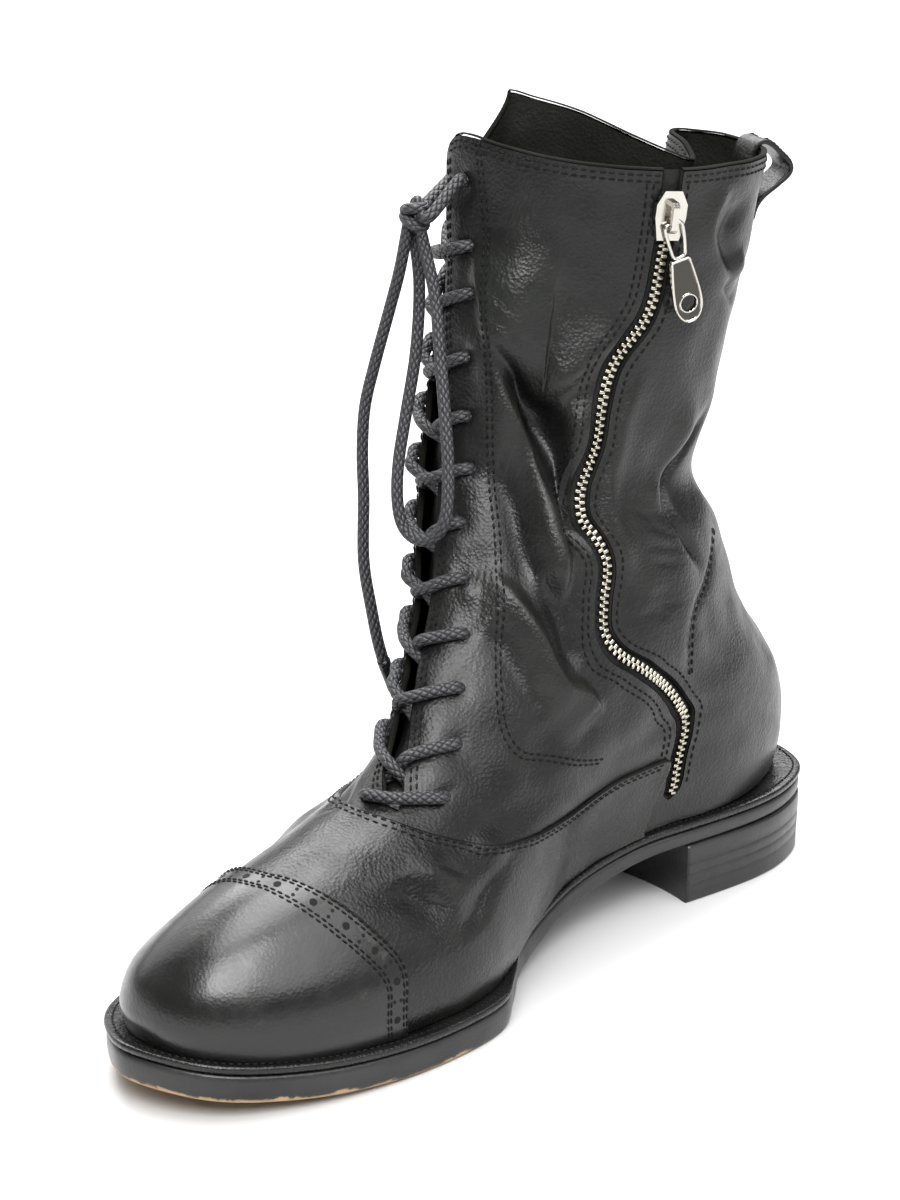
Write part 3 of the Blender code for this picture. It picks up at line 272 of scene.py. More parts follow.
def flow(rows: Sequence[Sequence[float]], at: Array) -> Array:
    """The other columns of a table, eased between its rows; the end rows hold beyond them.

    Args:
        rows: the table, its first column rising.
        at: places on the first column.

    Returns:
        One line of the other columns for each place.
    """
    data = np.array(rows, float)
    x, y = data[:, 0], data[:, 1:]
    at = np.clip(np.asarray(at, float), x[0], x[-1])
    k = np.clip(np.searchsorted(x, at, side="right") - 1, 0, len(x) - 2)
    slopes = np.zeros_like(y)
    slopes[1:-1] = (y[2:] - y[:-2]) / (x[2:] - x[:-2])[:, None]
    gap = (x[k + 1] - x[k])[..., None]
    t = (at - x[k])[..., None] / gap
    low = y[k] * (1 + 2 * t) * (1 - t) ** 2 + slopes[k] * gap * t * (1 - t) ** 2
    return low + y[k + 1] * t * t * (3 - 2 * t) + slopes[k + 1] * gap * t * t * (t - 1)


def unit(vectors: Array) -> Array:
    """Vectors scaled to length one."""
    return vectors / np.maximum(np.linalg.norm(vectors, axis=-1, keepdims=True), 1e-9)


def spring(y: Array) -> Array:
    """Rise of the sole towards the toe tip."""
    return SPRING_RISE * np.clip((SPRING_START - np.asarray(y, float)) / SPRING_RUN, 0.0, None) ** 2


def arch(y: Array) -> Array:
    """Share of the heel's rise reached at y."""
    share = np.clip((np.asarray(y, float) - ARCH_START) / ARCH_RUN, 0.0, 1.0)
    return np.sin(share * math.pi / 2) ** ARCH_POWER


def feather(y: Array) -> Array:
    """Height of the welt's top face, where the upper stands."""
    return FEATHER_LOW + spring(y) + HEEL_RISE * arch(y)


def sole_top(y: Array) -> Array:
    """Top face of the outsole."""
    return feather(y) - WELT_THICK


def sole_bottom(y: Array) -> Array:
    """Bottom face of the outsole."""
    return sole_top(y) - (SOLE_THICK - HEEL_THINNING * arch(y))


class Body(Enum):
    """Bodies that the pieces ride on."""

    BOOT = "boot"
    PULL = "pull"


class Slot(Enum):
    """Material slot names passed along with the pieces."""

    LEATHER = "leather"
    SOLE = "sole_leather"
    ZIP = "zip_metal"
    LACE = "lace"


class Ring(Enum):
    """What a ring of the pull tab's profile follows."""

    HOLE = "hole"
    RIM = "rim"


@dataclass(frozen=True)
class Crease:
    """A trough or ridge of the leather, its path given from top to bottom.

    Attributes:
        path: places (row, turn) along the crease.
        front: half width on the side towards the front, in millimetres.
        rear: half width on the side towards the back.
        depth: height of the ridge, or below zero the depth of the trough.
        taper: share of the length over which each end fades.
    """

    path: Pairs
    front: float
    rear: float
    depth: float
    taper: float = 0.25


CREASES = (
    # Upper pillow's lower edge, the deep trough under it and the ridge before the trough.
    Crease(((13.43, .120), (13.23, .123), (12.93, .133), (12.68, .153), (12.45, .187), (12.18, .225),
            (11.93, .270), (11.98, .300), (12.12, .330), (12.32, .378), (12.5, .430), (12.62, .470)),
           3.5, 18.0, 5.6, 0.45),
    Crease(((11.95, .280), (12.12, .330), (12.32, .378), (12.5, .430), (12.62, .470)), 3.0, 11.0, 2.6, 0.3),
    Crease(((12.50, .185), (12.28, .203), (11.98, .226), (11.60, .264), (11.25, .300), (11.00, .316),
            (10.70, .322), (10.30, .318), (9.85, .312)), 3.6, 7.0, -5.6, 0.2),
    Crease(((12.75, .145), (12.50, .155), (12.25, .172), (11.98, .190), (11.65, .215), (11.30, .252),
            (10.88, .284), (10.45, .294), (10.00, .291), (9.65, .286), (9.20, .278)), 9.0, 2.2, 5.0, 0.15),
    Crease(((12.05, .318), (11.80, .350), (11.60, .363), (11.30, .357), (10.98, .350), (10.62, .342),
            (10.2, .335)), 3.6, 6.0, 3.8),
    Crease(((11.4, .178), (10.93, .195), (10.53, .205), (10.10, .210), (9.70, .222), (9.35, .240)),
           5.0, 6.0, -3.0),
    # Second hooked ridge above the ankle and the hollows on both sides of it.
    Crease(((9.83, .133), (9.60, .152), (9.38, .182), (9.10, .206), (8.70, .232), (8.28, .256),
            (7.95, .285), (7.78, .322), (7.45, .350), (7.0, .385)), 7.5, 2.2, 4.8, 0.16),
    Crease(((9.1, .130), (8.68, .162), (8.28, .195), (7.85, .235), (7.5, .275)), 5.0, 5.0, -2.0),
    Crease(((9.8, .235), (9.4, .256), (8.97, .276), (8.45, .296), (8.05, .325)), 3.6, 5.0, -2.8),
    # Ridge along the back of the zip, and the folds of the back.
    Crease(((12.35, .545), (12.05, .498), (11.73, .472), (11.35, .458), (10.90, .438), (10.48, .430),
            (9.83, .438), (9.3, .446)), 1.5, 4.5, 2.2),
    Crease(((11.85, .800), (11.5, .765), (11.23, .700), (11.00, .655), (10.78, .635), (10.50, .625),
            (10.10, .637), (9.70, .663), (9.33, .693)), 3.0, 1.6, -3.5),
    Crease(((11.85, .720), (11.38, .663), (11.08, .630), (10.73, .585), (10.4, .570)), 6.0, 4.0, 2.4),
    Crease(((9.88, .785), (9.25, .703), (8.72, .620), (8.12, .590), (7.15, .590)), 1.0, 2.5, -1.0, 0.1),
    Crease(((13.78, .800), (13.80, .705), (13.68, .673), (13.53, .655), (13.38, .657), (13.23, .683),
            (13.08, .720), (12.88, .780)), 5.0, 2.0, 2.0),
    Crease(((13.62, .800), (13.53, .740), (13.38, .713), (13.20, .742), (13.05, .795)), 4.0, 4.0, -2.4),
    Crease(((13.2, .775), (13.08, .800), (12.95, .835)), 4.0, 4.0, 2.0, 0.4),
    Crease(((12.95, .740), (12.8, .790), (12.72, .850)), 1.5, 1.5, -2.0),
    # Pulls from the lacing and flex of the vamp.
    Crease(((9.58, .078), (9.35, .105), (9.33, .140)), 3.0, 3.0, 1.0, 0.4),
    Crease(((9.35, .157), (9.12, .137), (8.88, .103)), 3.0, 3.0, 1.0, 0.4),
    Crease(((4.40, .147), (4.00, .193), (3.62, .232), (3.12, .272), (2.70, .300)), 5.5, 4.5, -1.9, 0.4),
    Crease(((5.25, .127), (4.50, .198), (3.95, .242), (3.30, .288), (2.83, .310)), 5.0, 5.0, 1.3, 0.4),
    Crease(((3.90, .325), (3.35, .330), (2.78, .330), (2.15, .333)), 6.0, 6.0, -1.6, 0.4),
    Crease(((5.08, .235), (4.25, .310), (3.65, .347)), 4.0, 4.0, 1.5, 0.4),
    Crease(((6.15, -.122), (6.03, -.075), (5.68, -.042)), 5.0, 5.0, -1.6, 0.4),
    # Outer side, folded much as the inner side is.
    Crease(((12.3, -.180), (11.7, -.250), (11.2, -.330), (10.9, -.420), (10.8, -.520)), 5.0, 6.0, -3.4),
    Crease(((12.5, -.300), (12.0, -.340), (11.6, -.420), (11.4, -.520), (11.4, -.620)), 6.0, 3.0, 2.8),
    Crease(((11.3, -.200), (10.7, -.260), (10.2, -.330), (9.9, -.420), (9.9, -.500)), 4.0, 7.0, 2.6),
    Crease(((9.9, -.190), (9.3, -.240), (8.8, -.310), (8.5, -.390)), 4.0, 6.0, -2.2),
    Crease(((9.4, -.170), (8.8, -.220), (8.2, -.280), (7.7, -.340)), 3.0, 6.0, 1.8),
    Crease(((10.9, -.560), (10.4, -.620), (10.2, -.720), (10.2, -.820)), 4.0, 4.0, 2.0),
    Crease(((4.40, -.160), (3.9, -.215), (3.3, -.265), (2.7, -.300)), 4.0, 5.0, -0.9, 0.4),
    Crease(((4.9, -.190), (4.2, -.250), (3.5, -.300), (2.9, -.335)), 5.0, 5.0, 0.7, 0.4),
) + tuple(Crease(path, WRINKLE_HALF, WRINKLE_HALF, WRINKLE_DEPTH, WRINKLE_TAPER) for path in (
    ((10.35, .490), (10.20, .555), (10.00, .607)), ((10.05, .482), (9.95, .540), (9.83, .625)),
    ((9.18, .482), (9.20, .515), (9.15, .560)), ((8.83, .440), (8.88, .492), (8.75, .542)),
    ((10.80, .495), (10.68, .528), (10.68, .580)), ((10.55, .472), (10.50, .515), (10.40, .550)),
    ((9.75, .500), (9.68, .550), (9.60, .600)), ((9.00, .470), (9.02, .520), (8.95, .580)),
    ((4.45, .218), (4.05, .260), (3.73, .295)), ((4.05, .232), (3.62, .270), (3.35, .300)),
    ((3.68, .242), (3.25, .278), (2.95, .302)), ((12.9, .155), (12.75, .200), (12.62, .240)),
    ((12.7, .175), (12.5, .215), (12.35, .255)), ((10.3, -.400), (10.15, -.470), (10.1, -.540)),
    ((9.5, -.380), (9.35, -.450), (9.3, -.520)),
))


class BootForm:
    """The boot's outer face over (row, turn), sampled once and read by interpolation."""

    def __init__(self, creases: Sequence[Crease], row_steps: int = 561, turn_steps: int = 801) -> None:
        """Sample the form, its folds and its creases.

        Args:
            creases: the listed creases.
            row_steps: samples up the boot.
            turn_steps: samples round the boot.
        """
        self.rows = np.linspace(0.0, TOP_ROW, row_steps)
        self.turns = np.linspace(-1.0, 1.0, turn_steps)
        points = np.array([self._section(row) for row in self.rows])
        rows, turns = np.meshgrid(self.rows, self.turns, indexing="ij")
        push = np.zeros_like(rows)
        for row, turn, row_reach, turn_reach, depth in FOLDS:
            aside = (turns - turn + 1.0) % 2.0 - 1.0
            push += depth * np.exp(-((rows - row) / row_reach) ** 2 - (aside / turn_reach) ** 2)
        points = points + self._facing(points) * push[..., None]
        fade = smooth((rows - TUCK_START_ROW) / (TOP_ROW - TUCK_START_ROW))
        points = points + flow(TUCK, turns) * fade[..., None]
        points[..., 2] += flow(COLLAR, turns)[..., 0] * smooth((rows - COLLAR_START_ROW) / COLLAR_ROWS)
        self.points = points
        self.normals = self._facing(points)
        self._measure()
        points[..., 2] += flow(CORNER, turns)[..., 0] * smooth((rows - CORNER_START_ROW) / CORNER_ROWS)
        self.relief = self._creased(creases) + self._worn(rows, turns)
        self.points = points + self.normals * self.relief[..., None]
        self.normals = self._facing(self.points)

    def _section(self, row: float) -> Array:
        """Points of one plain section at every sampled turn.

        Args:
            row: the section's row.

        Returns:
            One point for each sampled turn.
        """
        c = dict(zip(SECTION_COLUMNS, catmull(SECTIONS, row)[0]))
        s = (1 - np.cos(np.linspace(0, math.pi, 401))) / 2
        s[-1] = 1.0
        y = c["front_y"] + (c["back_y"] - c["front_y"]) * s
        flat = c["front_z"] + (c["back_z"] - c["front_z"]) * s
        front_lift, back_lift = (c[end + "_z"] - feather(c[end + "_y"]) for end in ("front", "back"))
        low = feather(y) + front_lift * (1 - s) + back_lift * s
        z = flat * (1 - c["sag"]) + low * c["sag"]
        ridge = c["ridge"] * (1 - s) ** 2
        nose = (1 - np.clip(1 - s / c["nose"], 0, None) ** c["nose_p"]) ** (1 / c["nose_p"])
        rear = (1 - np.clip(1 - (1 - s) / c["rear"], 0, None) ** c["rear_p"]) ** (1 / c["rear_p"])
        mid = (c["front_y"] + c["back_y"]) / 2
        cos, sin = math.cos(math.radians(c["twist"])), math.sin(math.radians(c["twist"]))
        found = np.empty((len(self.turns), 3))
        for side, sign in (("in", 1.0), ("out", -1.0)):
            half = self._half_width(s, *(c[f"{side}_{part}"] for part in ("ball", "waist", "heel")))
            x, along = ridge + sign * half * nose * rear, y - mid
            line = np.stack([x * cos + along * sin + c["shift"], mid - x * sin + along * cos, z], axis=1)
            run = run_along(line)
            mine = self.turns >= 0 if sign > 0 else self.turns < 0
            found[mine] = at_runs(np.abs(self.turns[mine]) * run[-1], run, line)
        return found

    @staticmethod
    def _half_width(s: Array, ball: float, waist: float, heel: float) -> Array:
        """Half width along a section's length, before its ends are rounded."""
        widths = np.array([ball, ball, waist, heel, heel])
        i = np.clip(np.searchsorted(WIDTH_STATIONS, s, side="right") - 1, 0, len(WIDTH_STATIONS) - 2)
        t = smooth((s - WIDTH_STATIONS[i]) / (WIDTH_STATIONS[i + 1] - WIDTH_STATIONS[i]))
        return widths[i] * (1 - t) + widths[i + 1] * t

    @staticmethod
    def _facing(points: Array) -> Array:
        """Outward normals of sampled points."""
        along = np.empty_like(points)
        along[:, 1:-1] = points[:, 2:] - points[:, :-2]
        along[:, 0] = along[:, -1] = points[:, 1] - points[:, -2]
        return unit(np.cross(along, np.gradient(points, axis=0)))

    def _measure(self) -> None:
        """Millimetres per row and per turn at every sample."""
        up = np.linalg.norm(np.gradient(self.points, axis=0), axis=2) / (self.rows[1] - self.rows[0])
        round_ = np.linalg.norm(np.gradient(self.points, axis=1), axis=2) / (self.turns[1] - self.turns[0])
        self.metric = np.stack([up, round_], axis=2)

    @staticmethod
    def _within(samples: Array, values: Array, pad: float) -> Array:
        """Numbers of the samples that lie within a pad of the values' range."""
        return np.flatnonzero((samples > values.min() - pad) & (samples < values.max() + pad))

    def _creased(self, creases: Sequence[Crease]) -> Array:
        """Height of all the creases at every sample.

        Args:
            creases: the listed creases.

        Returns:
            Heights over the grid of samples.
        """
        total = np.zeros((len(self.rows), len(self.turns)))
        for crease in creases:
            path = curve_through(crease.path, CREASE_STEPS)
            scale = self.read(self.metric, path[:, 0], path[:, 1])
            reach = CREASE_REACH * max(crease.front, crease.rear)
            i = self._within(self.rows, path[:, 0], reach / scale[:, 0].min())
            j = self._within(self.turns, path[:, 1], reach / scale[:, 1].min())
            rows, turns = np.meshgrid(self.rows[i], self.turns[j], indexing="ij")
            up = (rows.ravel()[:, None] - path[:, 0]) * scale[:, 0]
            aside = (turns.ravel()[:, None] - path[:, 1]) * scale[:, 1]
            away = np.sqrt(up ** 2 + aside ** 2)
            near = away.argmin(axis=1)
            pick = np.arange(len(near))
            share = near / (len(path) - 1)
            ends = smooth(np.minimum(share, 1 - share) / crease.taper)
            ahead = np.gradient(path, axis=0) * scale
            side = np.sign(ahead[near, 0] * aside[pick, near] - ahead[near, 1] * up[pick, near])
            distance = away[pick, near] / np.where(side > 0, crease.front, crease.rear)
            height = np.exp(-distance ** 2)
            total[np.ix_(i, j)] += (crease.depth * height * ends).reshape(rows.shape)
        return total

    def _worn(self, rows: Array, turns: Array) -> Array:
        """Slow unevenness of worn leather, and dents where the lace pulls at its holes.

        Args:
            rows: row of every sample.
            turns: turn of every sample.

        Returns:
            Heights over the grid of samples.
        """
        chance = np.random.default_rng(11)
        total = np.zeros_like(rows)
        for _ in range(WAVES):
            wave = chance.normal(size=3)
            wave *= 2 * math.pi / chance.uniform(*WAVE_LENGTHS) / np.linalg.norm(wave)
            total += np.cos(self.points @ wave + chance.uniform(0.0, 2 * math.pi))
        over_the_foot = 0.3 + 0.7 * smooth((rows - 4.0) / 3.0)
        behind_the_cap = smooth((self.points[..., 1] + 105.0) / 30.0)
        total *= WAVE_HEIGHT * over_the_foot * behind_the_cap
        for row, turn in HOLES:
            for place in (turn, self.mirrored(row, turn)):
                up, aside = (rows - row) * self.metric[..., 0], (turns - place) * self.metric[..., 1]
                total -= HOLE_DENT * np.exp(-(up ** 2 + aside ** 2) / HOLE_DENT_REACH ** 2)
        return total

    def read(self, samples: Array, rows: Array, turns: Array) -> Array:
        """Samples read between the grid's places.

        Args:
            samples: a sampled field with one or more columns.
            rows: rows of the places.
            turns: turns of the places, which may pass the back.

        Returns:
            The field at each place.
        """
        values = samples if samples.ndim == 3 else samples[..., None]
        rows, turns = np.broadcast_arrays(np.asarray(rows, float), np.asarray(turns, float))
        i = np.clip(rows / TOP_ROW * (len(self.rows) - 1), 0, len(self.rows) - 1.0001)
        j = ((turns + 1.0) % 2.0) / 2.0 * (len(self.turns) - 1)
        i0 = i.astype(int)
        j0 = np.minimum(j.astype(int), len(self.turns) - 2)
        fi, fj = (i - i0)[..., None], (j - j0)[..., None]
        low = values[i0, j0] * (1 - fi) + values[i0 + 1, j0] * fi
        high = values[i0, j0 + 1] * (1 - fi) + values[i0 + 1, j0 + 1] * fi
        return low * (1 - fj) + high * fj

    def normal(self, rows: Array, turns: Array) -> Array:
        """Outward normals at places."""
        return unit(self.read(self.normals, rows, turns))

    def place(self, rows: Array, turns: Array, height: Array = 0.0) -> Array:
        """Points at a height above the skin, in millimetres of the row frame."""
        lift = np.asarray(height, float)[..., None] if np.ndim(height) else height
        return self.read(self.points, rows, turns) + self.normal(rows, turns) * lift + CENTRING

    def beside(self, path: Array, distance: float) -> Array:
        """A path moved sideways over the skin, to the left of its run for a distance above zero."""
        scale = self.read(self.metric, path[:, 0], path[:, 1])
        ahead = unit(np.gradient(path, axis=0) * scale)
        return path + np.stack([ahead[:, 1], -ahead[:, 0]], axis=1) * distance / scale

    def spaced(self, path: Array, pitch: float) -> Array:
        """Places on a path, evenly spaced over the skin."""
        line = self.place(path[:, 0], path[:, 1])
        run = run_along(line)
        return at_runs(np.linspace(0, run[-1], max(int(run[-1] / pitch), 2) + 1), run, path)

    @staticmethod
    def throat(rows: Array) -> Tuple[Array, Array]:
        """Turns of the slit's inner and outer edges; they meet below its foot."""
        edges = flow(THROAT, rows)
        closed = THROAT_FOOT_TURN * np.asarray(rows) / THROAT_FOOT
        open_ = np.asarray(rows) >= THROAT_FOOT
        near_top = np.clip((np.asarray(rows) - SLIT_ROUND_ROW) / SLIT_ROUND_ROWS, 0, 1)
        corner = SLIT_ROUND_TURN * (1 - np.sqrt(1 - near_top ** 2))
        return np.where(open_, edges[..., 0] + corner, closed), np.where(open_, edges[..., 1], closed)

    def mirrored(self, row: float, turn: float, share: float = 1.0) -> float:
        """Turn on the outer flap for one on the inner flap, a share as far from the slit's edge."""
        inner, outer = (float(edge[0]) for edge in self.throat(np.array([row])))
        return outer - share * (turn - inner)

    def zip_turn(self, rows: Array, across: float = 0.0) -> Array:
        """Turn of the zip's line, or of a line a distance behind it.

        Args:
            rows: rows to read.
            across: distance behind the zip's line.

        Returns:
            One turn for each row.
        """
        rows = np.asarray(rows, float)
        mid = flow(ZIP, rows)[..., 0]
        scale = self.read(self.metric, rows, mid)
        slope = (flow(ZIP, rows + ZIP_STEP)[..., 0] - flow(ZIP, rows - ZIP_STEP)[..., 0]) / (2 * ZIP_STEP)
        lean = np.sqrt(1 + np.clip(slope * scale[..., 1] / scale[..., 0], -ZIP_STEEPEST, ZIP_STEEPEST) ** 2)
        in_slot = abs(across) <= ZIP_HALF_SLOT
        shut = smooth((rows - ZIP_FOOT + ZIP_SHUT_LEAD) / ZIP_SHUT_ROWS) if in_slot else 1.0
        return mid + across * lean * shut / scale[..., 1]

    def zip_frame(self, rows: Array) -> Tuple[Array, Array, Array, Array]:
        """Centre of the zip and its across, down and out directions."""
        rows = np.asarray(rows, float)
        centre = self.place(rows, self.zip_turn(rows))
        low, high = np.clip(rows - 0.08, 0, TOP_ROW), np.clip(rows + 0.08, 0, TOP_ROW)
        down = unit(self.place(low, self.zip_turn(low)) - self.place(high, self.zip_turn(high)))
        across = unit(np.cross(self.normal(rows, self.zip_turn(rows)), down))
        return centre, across, down, np.cross(down, across)

    def edge_rows(self, turns: Array, below: Callable[[Array], Array], top: float) -> Array:
        """Row at which each turn's column first leaves the region that below marks.

        Args:
            turns: the columns.
            below: takes points and returns a value under zero inside the region.
            top: row past which no column goes.

        Returns:
            One row for each turn.
        """
        rows = np.linspace(0.0, top, 500)
        found = []
        for turn in turns:
            value = below(self.read(self.points, rows, np.full_like(rows, turn)))
            out = np.flatnonzero(value >= 0)
            if len(out) == 0:
                found.append(top)
            elif out[0] == 0:
                found.append(0.0)
            else:
                k = out[0]
                rise = value[k] - value[k - 1]
                found.append(rows[k - 1] + (rows[k] - rows[k - 1]) * -value[k - 1] / rise)
        return np.array(found)


WARP = (0.0014, 0.0014, 0.0014)
SCUFFED = (0.10, 0.095, 0.085, 1.0)
# Crease height that gives the full tone shift, and that shift: ridges lighter as rubbed wear and painted
# highlight, troughs darker as painted shade.
CREST, CREST_WEAR_AND_SHADE = 2.0, 0.45


class NodeKit:
    """Shorthand for building one node tree."""

    def __init__(self, tree: NodeTree) -> None:
        """Start on an empty tree."""
        self.tree = tree
        tree.nodes.clear()

    def add(self, kind: str, inputs: Optional[Dict[object, object]] = None,
            **settings: object) -> Node:
        """Add a node.

        Args:
            kind: the node's type name without its prefix.
            inputs: socket name or number to a value, or to another node's output socket.
            **settings: attributes of the node.

        Returns:
            The node.
        """
        node = self.tree.nodes.new(kind if kind.startswith("NodeGroup") else "ShaderNode" + kind)
        for key, value in settings.items():
            setattr(node, key, value)
        for key, value in (inputs or {}).items():
            if isinstance(value, Socket):
                self.tree.links.new(value, node.inputs[key])
            else:
                node.inputs[key].default_value = value
        return node

    def math(self, operation: str, *values: object) -> Socket:
        """Output of a math node over values or sockets."""
        return self.add("Math", dict(enumerate(values)), operation=operation).outputs[0]

    def ramp(self, value: Socket, low: float, high: float, to_low: float = 0.0,
             to_high: float = 1.0) -> Socket:
        """A value eased from one range into another."""
        made = self.add("MapRange", {"Value": value, "From Min": low, "From Max": high, "To Min": to_low,
                                     "To Max": to_high}, interpolation_type="SMOOTHSTEP", clamp=True)
        return made.outputs["Result"]

    def mix(self, share: object, low: object, high: object) -> Socket:
        """A colour between two colours."""
        made = self.add("Mix", {"Factor": share, 6: low, 7: high}, data_type="RGBA")
        return made.outputs[2]


class Effects:
    """Shared effects, each a node group built once."""

    @staticmethod
    def start(name: str, inputs: Dict[str, float], outputs: Sequence[str]) -> NodeKit:
        """An empty group with named float sockets.

        Args:
            name: the group's name.
            inputs: names of its inputs, with their usual values.
            outputs: names of its outputs.

        Returns:
            A kit on the group's tree.
        """
        tree = bpy.data.node_groups.new(name, "ShaderNodeTree")
        for key, value in inputs.items():
            socket = tree.interface.new_socket(name=key, in_out="INPUT", socket_type="NodeSocketFloat")
            socket.default_value = value
        for key in outputs:
            tree.interface.new_socket(name=key, in_out="OUTPUT", socket_type="NodeSocketFloat")
        return NodeKit(tree)

    @classmethod
    @lru_cache(maxsize=None)
    def grain(cls) -> NodeTree:
        """Fine creased pores of leather, with slow changes of tone."""
        kit = cls.start("leather_grain", {"Pore Scale": 900.0, "Wrinkle Scale": 160.0},
                        ["Height", "Tone", "Smudge"])
        given = kit.add("NodeGroupInput")
        place = kit.add("TexCoord").outputs["Object"]
        warp = kit.add("TexNoise", {"Vector": place, "Scale": 220.0, "Detail": 3.0})
        bent = kit.add("VectorMath", {0: warp.outputs["Color"], 1: WARP}, operation="MULTIPLY")
        moved = kit.add("VectorMath", {0: place, 1: bent.outputs[0]}, operation="ADD").outputs[0]
        pores = kit.add("TexVoronoi", {"Vector": moved, "Scale": given.outputs["Pore Scale"]}, feature="F1")
        lines = kit.add("TexNoise", {"Vector": moved, "Scale": given.outputs["Wrinkle Scale"], "Detail": 6.0,
                                     "Roughness": 0.62})
        soft = kit.math("MULTIPLY", pores.outputs["Distance"], 0.45)
        height = kit.math("ADD", soft, kit.math("MULTIPLY", lines.outputs["Fac"], 0.9))
        tone = kit.add("TexNoise", {"Vector": place, "Scale": 26.0, "Detail": 5.0, "Roughness": 0.6})
        smudge = kit.add("TexNoise", {"Vector": place, "Scale": 75.0, "Detail": 7.0, "Roughness": 0.7,
                                      "Distortion": 0.6})
        kit.add("NodeGroupOutput", {"Height": height, "Tone": tone.outputs["Fac"],
                                    "Smudge": smudge.outputs["Fac"]})
        return kit.tree

    @classmethod
    def grained(cls, kit: NodeKit, pores: float, wrinkles: float) -> Node:
        """The leather grain placed in a material at its own scales."""
        return kit.add("Group", {"Pore Scale": pores, "Wrinkle Scale": wrinkles}, node_tree=cls.grain())

    @classmethod
    @lru_cache(maxsize=None)
    def braid(cls) -> NodeTree:
        """Diamond braid of a round cord, from a map of turn round it and run along it."""
        kit = cls.start("cord_braid", {"Strands": 5.0, "Pitch": 0.30}, ["Height", "Tone"])
        given = kit.add("NodeGroupInput")
        place = kit.add("SeparateXYZ", {0: kit.add("UVMap").outputs[0]})
        round_ = kit.math("MULTIPLY", place.outputs["X"], given.outputs["Strands"])
        along = kit.math("DIVIDE", place.outputs["Y"], given.outputs["Pitch"])
        waves = []
        for sign in ("ADD", "SUBTRACT"):
            phase = kit.math("MULTIPLY", kit.math(sign, along, round_), math.pi)
            waves.append(kit.math("POWER", kit.math("ABSOLUTE", kit.math("SINE", phase)), 0.55))
        height = kit.math("MULTIPLY", waves[0], waves[1])
        spot = kit.add("TexCoord").outputs["Object"]
        speck = kit.add("TexNoise", {"Vector": spot, "Scale": 700.0, "Detail": 4.0})
        kit.add("NodeGroupOutput", {"Height": height, "Tone": speck.outputs["Fac"]})
        return kit.tree


@dataclass(frozen=True)
class Finish:
    """A dressed surface: what every finish shares."""

    name: str
    dark: Colour
    light: Colour
    rough: Pair

    def start(self) -> Tuple[Material, NodeKit, Node]:
        """A material with an empty shader wired to its output."""
        made = bpy.data.materials.new(self.name)
        made.use_nodes = True
        kit = NodeKit(made.node_tree)
        shader = kit.add("BsdfPrincipled")
        kit.add("OutputMaterial", {"Surface": shader.outputs[0]})
        return made, kit, shader

    @staticmethod
    def wire(kit: NodeKit, shader: Node, colour: Socket, rough: Socket, height: Socket,
             bump: Pair) -> None:
        """Wire a colour, a roughness and a bump into a shader.

        Args:
            kit: the material's nodes.
            shader: the material's shader.
            colour: socket of the base colour.
            rough: socket of the roughness.
            height: socket of the bump's height.
            bump: strength of the bump, and its depth in metres.
        """
        strength, depth = bump
        made = kit.add("Bump", {"Strength": strength, "Distance": depth, "Height": height})
        for name, socket in (("Base Color", colour), ("Roughness", rough), ("Normal", made.outputs[0])):
            kit.tree.links.new(socket, shader.inputs[name])


@dataclass(frozen=True)
class LeatherFinish(Finish):
    """Finished leather: pores, soft wrinkles, ridges lightened as rubbed wear and painted highlight, troughs
    darkened as painted shade, and a thin polish.
    """

    pores: float = 900.0
    wrinkles: float = 160.0
    bump: float = 0.55
    bump_depth: float = 0.0006
    coat: float = 0.07
    coat_rough: float = 0.2
    scuff: float = 0.12
    shine: float = 0.3

    def material(self) -> Material:
        """Build the material."""
        made, kit, shader = self.start()
        grain = Effects.grained(kit, self.pores, self.wrinkles)
        relief = kit.add("Attribute", attribute_name="relief", attribute_type="GEOMETRY").outputs["Fac"]
        # Tone from the crease height: ridges lighter as rubbed wear and painted highlight, troughs and
        # lace-hole dents darker as painted shade.
        ridge_wear_and_shade = kit.ramp(relief, -CREST, CREST, -CREST_WEAR_AND_SHADE, CREST_WEAR_AND_SHADE)
        tone = kit.math("ADD", kit.ramp(grain.outputs["Tone"], 0.3, 0.72), ridge_wear_and_shade)
        base = kit.mix(kit.math("MAXIMUM", kit.math("MINIMUM", tone, 1.0), 0.0), self.dark, self.light)
        rubbed = kit.math("MULTIPLY", kit.ramp(grain.outputs["Smudge"], 0.6, 0.78), self.scuff)
        rough = kit.ramp(grain.outputs["Smudge"], 0.3, 0.75, *self.rough)
        self.wire(kit, shader, kit.mix(rubbed, base, SCUFFED), rough, grain.outputs["Height"],
                  (self.bump, self.bump_depth))
        shader.inputs["Coat Weight"].default_value = self.coat
        shader.inputs["Coat Roughness"].default_value = self.coat_rough
        shader.inputs["Specular IOR Level"].default_value = self.shine
        return made


@dataclass(frozen=True)
class MetalFinish(Finish):
    """Plated metal with fine scratches."""

    pores: float = 1800.0
    wrinkles: float = 900.0
    bump: Pair = (0.08, 0.0002)

    def material(self) -> Material:
        """Build the material."""
        made, kit, shader = self.start()
        grain = Effects.grained(kit, self.pores, self.wrinkles)
        colour = kit.mix(grain.outputs["Tone"], self.dark, self.light)
        rough = kit.ramp(grain.outputs["Smudge"], 0.35, 0.7, *self.rough)
        self.wire(kit, shader, colour, rough, grain.outputs["Height"], self.bump)
        shader.inputs["Metallic"].default_value = 1.0
        return made


